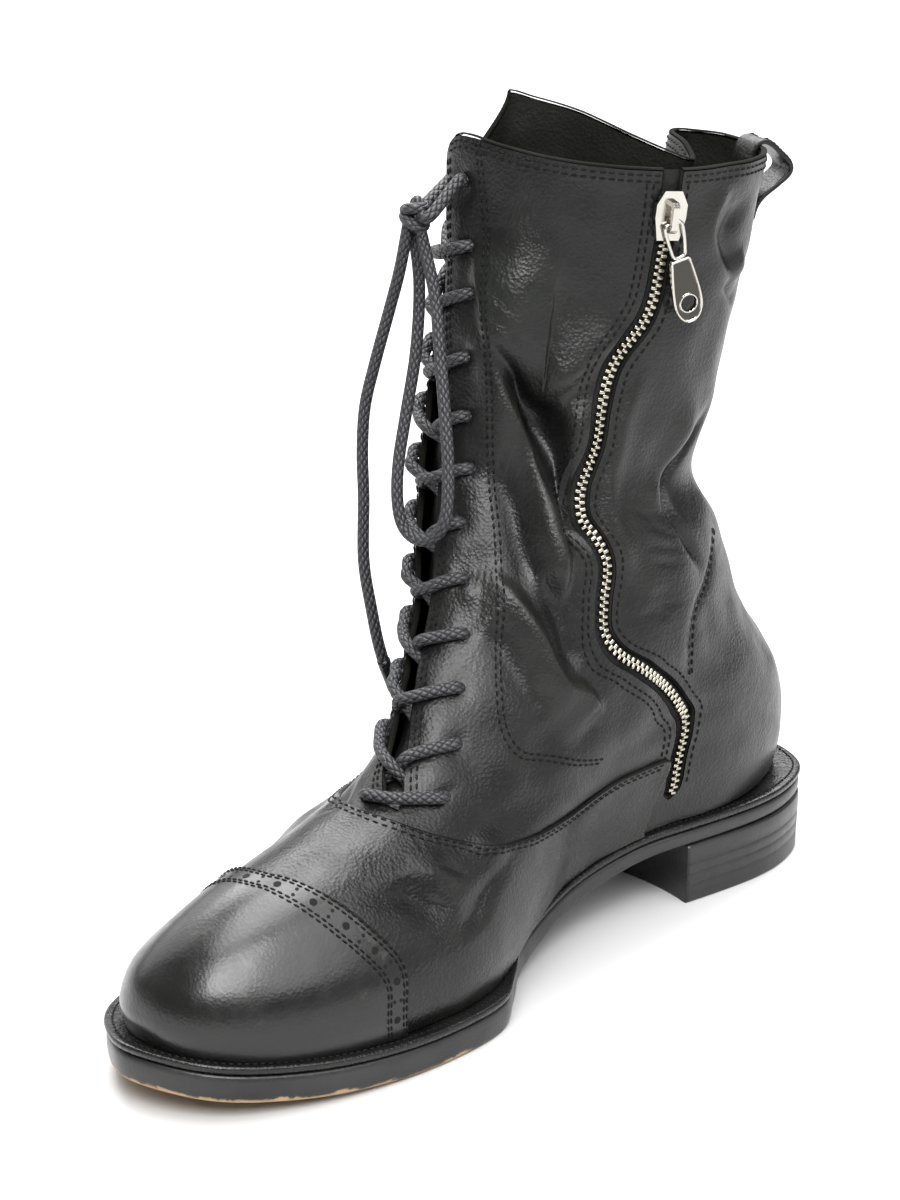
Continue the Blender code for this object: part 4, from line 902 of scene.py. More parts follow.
@dataclass(frozen=True)
class CordFinish(Finish):
    """Waxed braided cord."""

    bump: Pair = (0.9, 0.0006)

    def material(self) -> Material:
        """Build the material."""
        made, kit, shader = self.start()
        braid = kit.add("Group", node_tree=Effects.braid())
        speck = kit.ramp(braid.outputs["Tone"], 0.3, 0.7, 0.6, 1.0)
        shade = kit.math("MULTIPLY", braid.outputs["Height"], speck)
        rough = kit.ramp(braid.outputs["Tone"], 0.3, 0.7, *self.rough)
        colour = kit.mix(shade, self.dark, self.light)
        self.wire(kit, shader, colour, rough, braid.outputs["Height"], self.bump)
        return made


@dataclass(frozen=True)
class SoleFinish(Finish):
    """Inked sole edge over raw leather that shows at the worn bottom edge."""

    raw: Colour = (0.40, 0.27, 0.15, 1.0)
    raw_rough: float = 0.4
    pores: float = 1300.0
    wrinkles: float = 420.0
    bump: Pair = (0.25, 0.0005)

    def material(self) -> Material:
        """Build the material; the low attribute is the height above the sole's bottom."""
        made, kit, shader = self.start()
        grain = Effects.grained(kit, self.pores, self.wrinkles)
        low = kit.add("Attribute", attribute_name="low", attribute_type="GEOMETRY").outputs["Fac"]
        ragged = kit.math("ADD", low, kit.ramp(grain.outputs["Smudge"], 0.3, 0.7, -0.9, 0.9))
        bare = kit.ramp(ragged, 0.9, 1.9, 1.0, 0.0)
        ink = kit.mix(kit.ramp(grain.outputs["Tone"], 0.3, 0.7), self.dark, self.light)
        inked = kit.ramp(grain.outputs["Smudge"], 0.3, 0.75, *self.rough)
        rough = kit.math("ADD", inked, kit.math("MULTIPLY", bare, self.raw_rough))
        self.wire(kit, shader, kit.mix(bare, ink, self.raw), rough, grain.outputs["Height"], self.bump)
        return made


class Finishes:
    """Every finish of the boot, built on first use."""

    SHAFT = LeatherFinish("shaft_leather", (0.0022, 0.0024, 0.0022, 1), (0.0078, 0.0086, 0.0075, 1),
                          (0.32, 0.46))
    VAMP = LeatherFinish("vamp_leather", (0.0022, 0.0024, 0.0022, 1), (0.0072, 0.0077, 0.0068, 1),
                         (0.25, 0.40), coat=0.12)
    CAP = LeatherFinish("polished_cap_leather", (0.002, 0.002, 0.002, 1), (0.005, 0.005, 0.0047, 1),
                        (0.27, 0.42), bump=0.2, coat=0.22, coat_rough=0.2, scuff=0.45, shine=0.42)
    LINING = LeatherFinish("lining_leather", (0.003, 0.003, 0.0027, 1), (0.008, 0.008, 0.007, 1),
                           (0.6, 0.8), coat=0.0, shine=0.12)
    CUT_EDGE = LeatherFinish("cut_edge", (0.004, 0.004, 0.0037, 1), (0.014, 0.0135, 0.012, 1),
                             (0.85, 0.95), coat=0.0, shine=0.05)
    THREAD = LeatherFinish("black_thread", (0.0015, 0.0015, 0.0015, 1), (0.005, 0.005, 0.005, 1),
                           (0.5, 0.65), coat=0.0, shine=0.15)
    # Flat near-black discs for the cap's punched holes: painted shade where the holes would be.
    PUNCHED_HOLE_SHADE = LeatherFinish("punched_hole_shade", (0.001, 0.001, 0.001, 1), (0.002, 0.002, 0.002, 1),
                            (0.8, 0.9), coat=0.0)
    TAPE = LeatherFinish("zip_tape", (0.003, 0.003, 0.003, 1), (0.007, 0.007, 0.007, 1),
                         (0.7, 0.85), coat=0.0)
    FOOTBED = LeatherFinish("footbed", (0.010, 0.009, 0.008, 1), (0.03, 0.025, 0.02, 1),
                            (0.6, 0.8), coat=0.0)
    WELT = LeatherFinish("welt_leather", (0.002, 0.002, 0.002, 1), (0.008, 0.008, 0.0077, 1),
                         (0.20, 0.36), coat=0.2)
    SOLE = SoleFinish("sole_edge", (0.006, 0.006, 0.006, 1), (0.016, 0.0163, 0.016, 1), (0.28, 0.46))
    LACE = CordFinish("waxed_lace", (0.0014, 0.0014, 0.0017, 1), (0.036, 0.036, 0.041, 1), (0.42, 0.6))
    TIP = LeatherFinish("lace_tip", (0.004, 0.004, 0.005, 1), (0.012, 0.012, 0.013, 1),
                        (0.2, 0.3), coat=0.2)
    ZIP_METAL = MetalFinish("zip_metal", (0.42, 0.40, 0.36, 1), (0.62, 0.60, 0.56, 1), (0.12, 0.24))
    TEETH = MetalFinish("zip_teeth", (0.32, 0.295, 0.23, 1), (0.58, 0.545, 0.45, 1), (0.22, 0.36))
    TAB_FACE = MetalFinish("tab_face", (0.04, 0.039, 0.034, 1), (0.08, 0.077, 0.069, 1), (0.16, 0.26))

    @staticmethod
    @lru_cache(maxsize=None)
    def get(finish: Finish) -> Material:
        """The material of a finish."""
        return finish.material()


class Workshop:
    """Adds primitives and shapes them; a finished piece sits at the origin with its place in its mesh."""

    MAP_PER_MM = 0.1
    ASKEW = (0.31, 0.47, 0.83)

    @staticmethod
    def deselect() -> None:
        """Leave nothing selected."""
        bpy.ops.object.select_all(action="DESELECT")

    @classmethod
    def pick(cls, item: Piece) -> None:
        """Select one piece alone and make it active."""
        cls.deselect()
        item.select_set(True)
        bpy.context.view_layer.objects.active = item

    @staticmethod
    def points(item: Piece) -> Array:
        """Places of a piece's points, one row each."""
        co = np.empty(len(item.data.vertices) * 3)
        item.data.vertices.foreach_get("co", co)
        return co.reshape(-1, 3)

    @classmethod
    def cap(cls, item: Piece) -> Piece:
        """Close the open rims of a piece."""
        cls.pick(item)
        bpy.ops.object.mode_set(mode="EDIT")
        bpy.ops.mesh.select_all(action="DESELECT")
        bpy.ops.mesh.select_non_manifold()
        bpy.ops.mesh.edge_face_add()
        bpy.ops.object.mode_set(mode="OBJECT")
        return item

    @classmethod
    def grid(cls, name: str, across: int, along: int, shape: Shape) -> Piece:
        """A grid whose points are placed by a function of its two shares.

        Args:
            name: the piece's name.
            across: faces along the first share.
            along: faces along the second share.
            shape: takes the two shares and returns points in millimetres.

        Returns:
            The piece, smooth shaded.
        """
        cls.deselect()
        bpy.ops.mesh.primitive_grid_add(x_subdivisions=across, y_subdivisions=along, size=1.0)
        item = bpy.context.active_object
        item.name = item.data.name = name
        shares = np.clip(cls.points(item) + 0.5, 0, 1)
        item.data.vertices.foreach_set("co", (shape(shares[:, 0], shares[:, 1]) * MM).ravel())
        bpy.ops.object.shade_smooth()
        item.data.update()
        return item

    @staticmethod
    def weld(item: Piece, distance: float = 0.01) -> Piece:
        """Merge points that meet, within a distance in millimetres.

        Args:
            item: the piece.
            distance: how near points meet.

        Returns:
            The piece.
        """
        shape = bmesh.new()
        shape.from_mesh(item.data)
        bmesh.ops.remove_doubles(shape, verts=shape.verts, dist=distance * MM)
        bmesh.ops.dissolve_degenerate(shape, edges=shape.edges, dist=1e-7)
        shape.to_mesh(item.data)
        shape.free()
        item.data.update()
        return item

    @classmethod
    def join(cls, name: str, items: Sequence[Piece]) -> Piece:
        """Join pieces into one.

        Args:
            name: the joined piece's name.
            items: the pieces.

        Returns:
            The joined piece.
        """
        cls.deselect()
        for item in items:
            item.select_set(True)
        bpy.context.view_layer.objects.active = items[0]
        bpy.ops.object.join()
        items[0].name = items[0].data.name = name
        return items[0]

    @classmethod
    def modify(cls, item: Piece, kind: str, **settings: object) -> Piece:
        """Add one modifier and apply it.

        Args:
            item: the piece.
            kind: the modifier's type.
            **settings: its settings.

        Returns:
            The piece.
        """
        cls.pick(item)
        made = item.modifiers.new(kind.title(), kind)
        for key, value in settings.items():
            setattr(made, key, value)
        bpy.ops.object.modifier_apply(modifier=made.name)
        return item

    @classmethod
    def tube(cls, name: str, path: Array, radius: Array, sides: int = 12, closed: bool = False) -> Piece:
        """A round cord along points in millimetres, mapped round and along for its braid.

        Args:
            name: the piece's name.
            path: the centreline.
            radius: one radius, or one for each point.
            sides: faces round it.
            closed: whether it runs back into its start.

        Returns:
            The piece.
        """
        path = np.asarray(path, float)
        if closed:
            path = np.vstack([path, path[:1]])
        count = len(path)
        ahead = unit(np.gradient(path, axis=0))
        if closed:
            ahead[0] = ahead[-1] = unit(path[1] - path[-2])
        side = np.empty_like(path)
        start = np.cross(ahead[0], cls.ASKEW)
        side[0] = start / np.linalg.norm(start)
        for k in range(1, count):
            step = side[k - 1] - ahead[k] * np.dot(side[k - 1], ahead[k])
            side[k] = step / np.linalg.norm(step)
        other = np.cross(ahead, side)
        run = run_along(path)
        wide = np.broadcast_to(np.asarray(radius, float), (count,))

        def shape(u: Array, v: Array) -> Array:
            k, turn = steps(v, count - 1), 2 * math.pi * u
            reach = side[k] * np.cos(turn)[:, None] + other[k] * np.sin(turn)[:, None]
            return path[k] + reach * wide[k][:, None]

        item = cls.grid(name, sides, count - 1, shape)
        layer = item.data.uv_layers.active.data
        uv = np.empty(len(layer) * 2)
        layer.foreach_get("uv", uv)
        uv[1::2] = np.interp(uv[1::2], np.linspace(0, 1, count), run) * cls.MAP_PER_MM
        layer.foreach_set("uv", uv)
        cls.weld(item, 0.002)
        return item if closed else cls.cap(item)

    @classmethod
    def copies(cls, name: str, pattern: Piece, frames: Array) -> Piece:
        """One mesh of a pattern repeated at many frames; the pattern is removed.

        Args:
            name: the piece's name.
            pattern: the piece modelled once, in millimetres about the origin.
            frames: 4 by 4 matrices in millimetres.

        Returns:
            The piece.
        """
        co = np.c_[cls.points(pattern), np.ones(len(pattern.data.vertices))]
        placed = np.einsum("nij,vj->nvi", frames, co)[..., :3].reshape(-1, 3) * MM
        faces = [tuple(face.vertices) for face in pattern.data.polygons]
        count = len(co)
        data = bpy.data.meshes.new(name)
        repeated = [tuple(k * count + i for i in face) for k in range(len(frames)) for face in faces]
        data.from_pydata(placed.tolist(), [], repeated)
        item = bpy.data.objects.new(name, data)
        bpy.context.scene.collection.objects.link(item)
        bpy.data.objects.remove(pattern, do_unlink=True)
        cls.pick(item)
        bpy.ops.object.shade_smooth_by_angle(angle=math.radians(50))
        return item

    @staticmethod
    def mark(item: Piece, name: str, values: Array) -> None:
        """Keep one number for each point of a piece."""
        layer = item.data.attributes.get(name) or item.data.attributes.new(name, "FLOAT", "POINT")
        layer.data.foreach_set("value", np.asarray(values, np.float32))

    @staticmethod
    def dress(item: Piece, finish: Finish, slot: Slot, body: Body = Body.BOOT,
              nodes: Sequence[str] = ()) -> Piece:
        """Give a piece its finish and its body, and hide the solids it stands for.

        Args:
            item: the piece.
            finish: its finish.
            slot: the material slot; not used.
            body: the body that it rides on.
            nodes: the solids that it stands for.

        Returns:
            The piece.
        """
        item.data.materials.clear()
        item.data.materials.append(Finishes.get(finish))
        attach(item, body.value)
        if nodes:
            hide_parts(*nodes)
        LOG.info("%s: %d faces", item.name, len(item.data.polygons))
        return item


@dataclass
class Seams:
    """Rows of stitches, kept as frames until they are built as one piece."""

    form: BootForm
    thread: float = 0.85
    long: float = 2.1
    pitch: float = 2.9
    margin: float = 0.02
    frames: List[Array] = field(default_factory=list)

    def sew(self, path: Sequence[Pair], lift: float, offsets: Sequence[float] = (0.0,),
            pitch: float = 0.0) -> None:
        """Add rows of stitches along a path over the skin.

        Args:
            path: places (row, turn).
            lift: height of the leather above the skin.
            offsets: sideways distances of the rows.
            pitch: distance from stitch to stitch, or nought for the usual.
        """
        fine = curve_through(path, 240)
        for offset in offsets:
            moved = self.form.beside(fine, offset) if offset else fine
            inside = (moved[:, 0] > self.margin) & (moved[:, 0] < TOP_ROW - self.margin)
            if inside.sum() < 4:
                continue
            at = self.form.spaced(moved[inside], pitch or self.pitch)
            line = self.form.place(at[:, 0], at[:, 1], lift)
            self.add(line, self.form.normal(at[:, 0], at[:, 1]))

    def add(self, line: Array, out: Array) -> None:
        """Add one stitch at each point of a line that faces out.

        Args:
            line: places of the stitches.
            out: the way that each one faces.
        """
        ahead = unit(np.gradient(line, axis=0))
        across = unit(np.cross(out, ahead))
        up = np.cross(ahead, across)
        sides = (across * self.thread / 2, up * self.thread / 2)
        self.frames.extend(frames_at(ahead * self.long / 2, *sides, line))

    def build(self) -> Piece:
        """All the stitches as one piece."""
        Workshop.deselect()
        on_its_side = (0.0, math.pi / 2, 0.0)
        bpy.ops.mesh.primitive_uv_sphere_add(segments=6, ring_count=4, radius=1.0, rotation=on_its_side)
        bpy.ops.object.transform_apply(location=False, rotation=True, scale=False)
        made = Workshop.copies("stitches", bpy.context.active_object, np.array(self.frames))
        return Workshop.dress(made, Finishes.THREAD, Slot.LEATHER)


@dataclass
class Upper:
    """The slouched shaft and quarters, with lining, cut edges and tongue."""

    form: BootForm
    rows: int = 232
    front_columns: int = 165
    back_columns: int = 205
    lining_share: float = 0.55
    edge_round: float = 0.55
    tongue_rows: Pair = (5.7, 13.3)
    tongue_lap: float = 0.11
    tongue_depth: float = 6.2
    tongue_bulge: float = 1.8
    tongue_thick: float = 1.8

    def __post_init__(self) -> None:
        """Rows spread evenly by distance up the inner side."""
        line = self.form.place(self.form.rows, np.full(len(self.form.rows), 0.3))
        run = run_along(line)
        self.up = lambda v: np.interp(v * run[-1], run, self.form.rows)

    def front(self, u: Array, v: Array) -> Tuple[Array, Array]:
        """Places on the panel from the slit's inner edge to the zip."""
        rows = self.up(v)
        start = self.form.throat(rows)[0]
        return rows, start + (self.form.zip_turn(rows, -ZIP_HALF_SLOT) - start) * u

    def back(self, u: Array, v: Array) -> Tuple[Array, Array]:
        """Places on the panel from the zip round the back to the slit's outer edge."""
        rows = self.up(v)
        start = self.form.zip_turn(rows, ZIP_HALF_SLOT)
        return rows, start + (2.0 + self.form.throat(rows)[1] - start) * u

    def shell(self, name: str, height: float, inward: bool, share: float) -> Piece:
        """Both panels at a height above the skin, joined where they meet.

        Args:
            name: the piece's name.
            height: height above the skin.
            inward: whether its faces look inwards.
            share: share of the full number of faces.

        Returns:
            The piece.
        """
        panels = []
        for panel, columns in ((self.front, self.front_columns), (self.back, self.back_columns)):
            def shape(u: Array, v: Array, panel: Callable = panel) -> Array:
                rows, turns = panel(1 - u if inward else u, v)
                return self.form.place(rows, turns, height)

            panels.append(Workshop.grid(name, int(columns * share), int(self.rows * share), shape))
        joined = Workshop.weld(Workshop.join(name, panels), 0.02)
        return Workshop.modify(joined, "SMOOTH", factor=0.5, iterations=4)

    def build(self) -> None:
        """Make the shell, its lining, its edges and the tongue."""
        shell = self.shell("upper_shell", 0.0, False, 1.0)
        self.colour(shell)
        Workshop.dress(shell, Finishes.SHAFT, Slot.LEATHER, nodes=("upper",))
        lining = self.shell("upper_lining", -WALL, True, self.lining_share)
        Workshop.dress(lining, Finishes.LINING, Slot.LEATHER)
        self.edges()
        self.tongue()

    def colour(self, item: Piece) -> None:
        """Keep the crease height at each point of a piece, read from the nearest sample of the skin."""
        samples = self.form.points[::2, ::2].reshape(-1, 3)
        relief = self.form.relief[::2, ::2].ravel()
        tree = KDTree(len(samples))
        for k, sample in enumerate(samples):
            tree.insert(sample, k)
        tree.balance()
        places = Workshop.points(item) / MM - CENTRING
        Workshop.mark(item, "relief", np.array([relief[tree.find(place)[1]] for place in places]))

    def edges(self) -> None:
        """Rounded cut edges along the collar, the slit and the zip."""
        high = np.linspace(THROAT_FOOT, TOP_ROW, 220)
        slot = np.linspace(ZIP_FOOT - 0.2, TOP_ROW, 260)
        u = np.linspace(0, 1, 240)
        top = np.ones_like(u)
        runs = {
            "edge_slit_inner": (high, self.form.throat(high)[0], -1),
            "edge_slit_outer": (high, self.form.throat(high)[1] + 2.0, 1),
            "edge_zip_front": (slot, self.form.zip_turn(slot, -ZIP_HALF_SLOT), 1),
            "edge_zip_rear": (slot, self.form.zip_turn(slot, ZIP_HALF_SLOT), -1),
            "edge_collar_front": (*self.front(u, top), 0),
            "edge_collar_back": (*self.back(u, top), 0),
        }
        for name, (rows, turns, side) in runs.items():
            self.edge(name, rows, turns, side)

    def edge(self, name: str, rows: Array, turns: Array, side: int) -> None:
        """One rounded cut edge.

        Args:
            name: the piece's name.
            rows: rows along the edge.
            turns: turns along the edge.
            side: the way of turn that leaves the leather, nought for up.
        """
        line = self.form.place(rows, turns)
        out = self.form.normal(rows, turns)
        ahead = unit(np.gradient(line, axis=0))
        reach = unit(np.cross(ahead, out))
        aim = UP if side == 0 else self.form.place(rows, turns + side * 0.01) - line
        flip = np.sign(np.sum(reach * aim, axis=1))
        reach = reach * (np.sign(flip.sum()) or 1.0)
        count = len(line)

        def shape(u: Array, v: Array) -> Array:
            k, turn = steps(v, count - 1), math.pi * u
            depth = (np.cos(turn) - 1) * WALL / 2
            return line[k] + out[k] * depth[:, None] + reach[k] * (self.edge_round * np.sin(turn))[:, None]

        item = Workshop.grid(name, 8, count - 1, shape)
        Workshop.dress(item, Finishes.CUT_EDGE, Slot.LEATHER)

    def tongue(self) -> None:
        """The tongue behind the slit, pressed in by the lacing."""
        def shape(u: Array, v: Array) -> Array:
            low, high = self.tongue_rows
            rows = low + (high - low) * v
            inner, outer = self.form.throat(np.maximum(rows, THROAT_FOOT))
            start, stop = outer - self.tongue_lap, inner + self.tongue_lap
            height = -self.tongue_depth + self.tongue_bulge * np.sin(math.pi * u) ** 2
            return self.form.place(rows, start + (stop - start) * u, height)

        item = Workshop.grid("tongue_leather", 40, 150, shape)
        Workshop.modify(item, "SOLIDIFY", thickness=self.tongue_thick * MM, offset=-1.0)
        Workshop.dress(item, Finishes.SHAFT, Slot.LEATHER, nodes=("tongue",))


@dataclass
class Panels:
    """The vamp and toe cap laid over the upper, with their seams and punching."""

    form: BootForm
    seams: Seams
    vamp_height: float = 1.5
    cap_height: float = 3.0
    back_y: float = 56.0
    crown: Pair = (4.0, 18.0)
    lowest_row: float = 0.03
    drop_steps: int = 23
    vamp_seams: Pair = (-1.5, -3.3)
    cap_seams: Tuple[float, ...] = (-1.0, -2.1, -6.8, -7.9)
    cap_pitch: float = 2.4
    band_middle: float = -4.45
    hole_pitch: float = 5.6
    hole_proud: float = 0.04
    large_holes: Pairs = ((0.0, 1.25),)
    small_holes: Pairs = ((-1.2, 0.6), (1.2, 0.6))
    rim: Pairs = ((1.4, 1.0), (0.9, 1.0), (0.5, 0.93), (0.2, 0.75), (0.05, 0.45), (0.0, 0.05))

    def vamp_edge(self, turns: Array) -> Array:
        """Row of the vamp's edge at each turn.

        Args:
            turns: the columns.

        Returns:
            One row for each turn.
        """
        y, inner_side, outer_side = np.array(VAMP, float).T
        start, reach = self.crown

        def below(points: Array) -> Array:
            inner, outer = (np.interp(points[:, 1], y, side) for side in (inner_side, outer_side))
            share = np.clip((points[:, 0] - start) / reach, 0, 1)
            return points[:, 2] - (inner * share + outer * (1 - share))

        return self.softened(self.form.edge_rows(turns, below, THROAT_FOOT))

    def cap_edge(self, turns: Array) -> Array:
        """Row of the toe cap's rear edge at each turn."""
        x, y = np.array(CAP, float).T
        return self.form.edge_rows(turns, lambda p: p[:, 1] - np.interp(p[:, 0], x, y), THROAT_FOOT)

    @staticmethod
    def softened(values: Array) -> Array:
        """A line with its small corners eased."""
        padded = np.concatenate([[values[0]] * 4, values, [values[-1]] * 4])
        return np.convolve(padded, np.ones(9) / 9, mode="valid")

    def reach(self, low: float, high: float, y: float) -> float:
        """Turn between two turns at which the foot's side reaches y."""
        turns = np.linspace(low, high, 300)
        at = self.form.read(self.form.points, np.full(300, 1.0), turns)[:, 1]
        return float(turns[np.argmin(np.abs(at - y))])

    def down_to_welt(self, edge: Array, turns: Array, pitch: float) -> Array:
        """An edge carried down to the welt at both ends, evenly spaced over the skin.

        Args:
            edge: rows of the edge.
            turns: turns of the edge.
            pitch: distance from place to place.

        Returns:
            Places (row, turn).
        """
        rise = np.linspace(self.lowest_row, edge[0], self.drop_steps + 1)[:-1]
        fall = np.linspace(edge[-1], self.lowest_row, self.drop_steps + 1)[1:]
        rows = np.concatenate([rise, edge, fall])
        across = np.pad(turns, self.drop_steps, mode="edge")
        path = self.form.spaced(np.c_[rows, across], pitch)
        for _ in range(3):
            path = np.stack([self.softened(path[:, 0]), self.softened(path[:, 1])], axis=1)
        return path

    def sheet(self, name: str, path: Array, height: float, rows: int) -> Piece:
        """A panel from the welt up to its edge, with a rounded cut edge.

        Args:
            name: the piece's name.
            path: places (row, turn) of the edge, from the welt over the foot and back to the welt.
            height: thickness above the skin.
            rows: faces from the welt to the edge.

        Returns:
            The piece.
        """
        lines = np.array([self.form.beside(path, -away) for away, _ in self.rim])
        lines[..., 0] = np.maximum(lines[..., 0], self.lowest_row)
        lifts = np.array([lift for _, lift in self.rim]) * height
        count, flat = len(path), rows - len(self.rim) + 1
        welt_turns = np.linspace(path[0, 1], path[-1, 1], count)
        base = np.c_[np.full(count, self.lowest_row), welt_turns]
        relief: List[Array] = []

        def shape(u: Array, v: Array) -> Array:
            j, i = steps(u, count - 1), steps(v, rows)
            share = np.clip(i / flat, 0, 1)[:, None]
            k = np.clip(i - flat, 0, len(self.rim) - 1)
            at = np.where(share < 1, base[j] + (lines[0, j] - base[j]) * share, lines[k, j])
            relief.append(self.form.read(self.form.relief, at[:, 0], at[:, 1])[:, 0])
            return self.form.place(at[:, 0], at[:, 1], lifts[k])

        item = Workshop.grid(name, count - 1, rows, shape)
        Workshop.modify(item, "SMOOTH", factor=0.5, iterations=2)
        Workshop.mark(item, "relief", relief[-1])
        return item

    def build(self) -> None:
        """Make both panels and sew them."""
        turns = np.linspace(self.reach(-0.95, -0.3, self.back_y), self.reach(0.3, 0.95, self.back_y), 420)
        edge = self.vamp_edge(turns)
        vamp = self.sheet("vamp_panel", self.down_to_welt(edge, turns, 1.0), self.vamp_height, 110)
        Workshop.dress(vamp, Finishes.VAMP, Slot.LEATHER, nodes=("vamp",))
        path = np.c_[edge, turns][4:-4]
        self.seams.sew(path[::8], self.vamp_height, self.vamp_seams)
        fine = np.linspace(-0.33, 0.33, 661)
        rows = self.cap_edge(fine)
        keep = np.flatnonzero(rows > 0.05)
        turns = np.linspace(fine[keep[0]], fine[keep[-1]], 220)
        line = self.down_to_welt(np.maximum(self.cap_edge(turns), self.lowest_row), turns, 0.9)
        cap = self.sheet("toe_cap_panel", line, self.cap_height, 90)
        Workshop.dress(cap, Finishes.CAP, Slot.LEATHER, nodes=("toe_cap",))
        self.seams.sew(line[::4], self.cap_height, self.cap_seams, self.cap_pitch)
        self.punch(line)

    def punch(self, edge: Array) -> None:
        """Large holes and pairs of small ones along the cap's band, each a flat near-black disc: painted
        shade inside the hole.

        Args:
            edge: places (row, turn) of the cap's edge.
        """
        middle = self.form.beside(edge, self.band_middle)
        at = self.form.spaced(middle[middle[:, 0] > 0.15], self.hole_pitch)
        lift = self.cap_height + self.hole_proud
        frames = []
        for k, (row, turn) in enumerate(at):
            out, here = self.form.normal(row, turn), self.form.place(row, turn, lift)
            step = (at[min(k + 1, len(at) - 1)] - at[max(k - 1, 0)]) * 0.1
            ahead = self.form.place(row + step[0], turn + step[1], lift) - here
            ahead = ahead / np.linalg.norm(ahead)
            side = np.cross(out, ahead)
            for shift, radius in self.small_holes if k % 2 else self.large_holes:
                axes = (ahead * radius, side * radius, out * radius, here + side * shift)
                frames.extend(frames_at(*(axis[None] for axis in axes)))
        # Near-black discs laid just over the band: painted shade inside each hole.
        Workshop.deselect()
        bpy.ops.mesh.primitive_circle_add(vertices=14, radius=1.0, fill_type="TRIFAN")
        made = Workshop.copies("cap_punching_shade", bpy.context.active_object, np.array(frames))
        Workshop.dress(made, Finishes.PUNCHED_HOLE_SHADE, Slot.LEATHER)


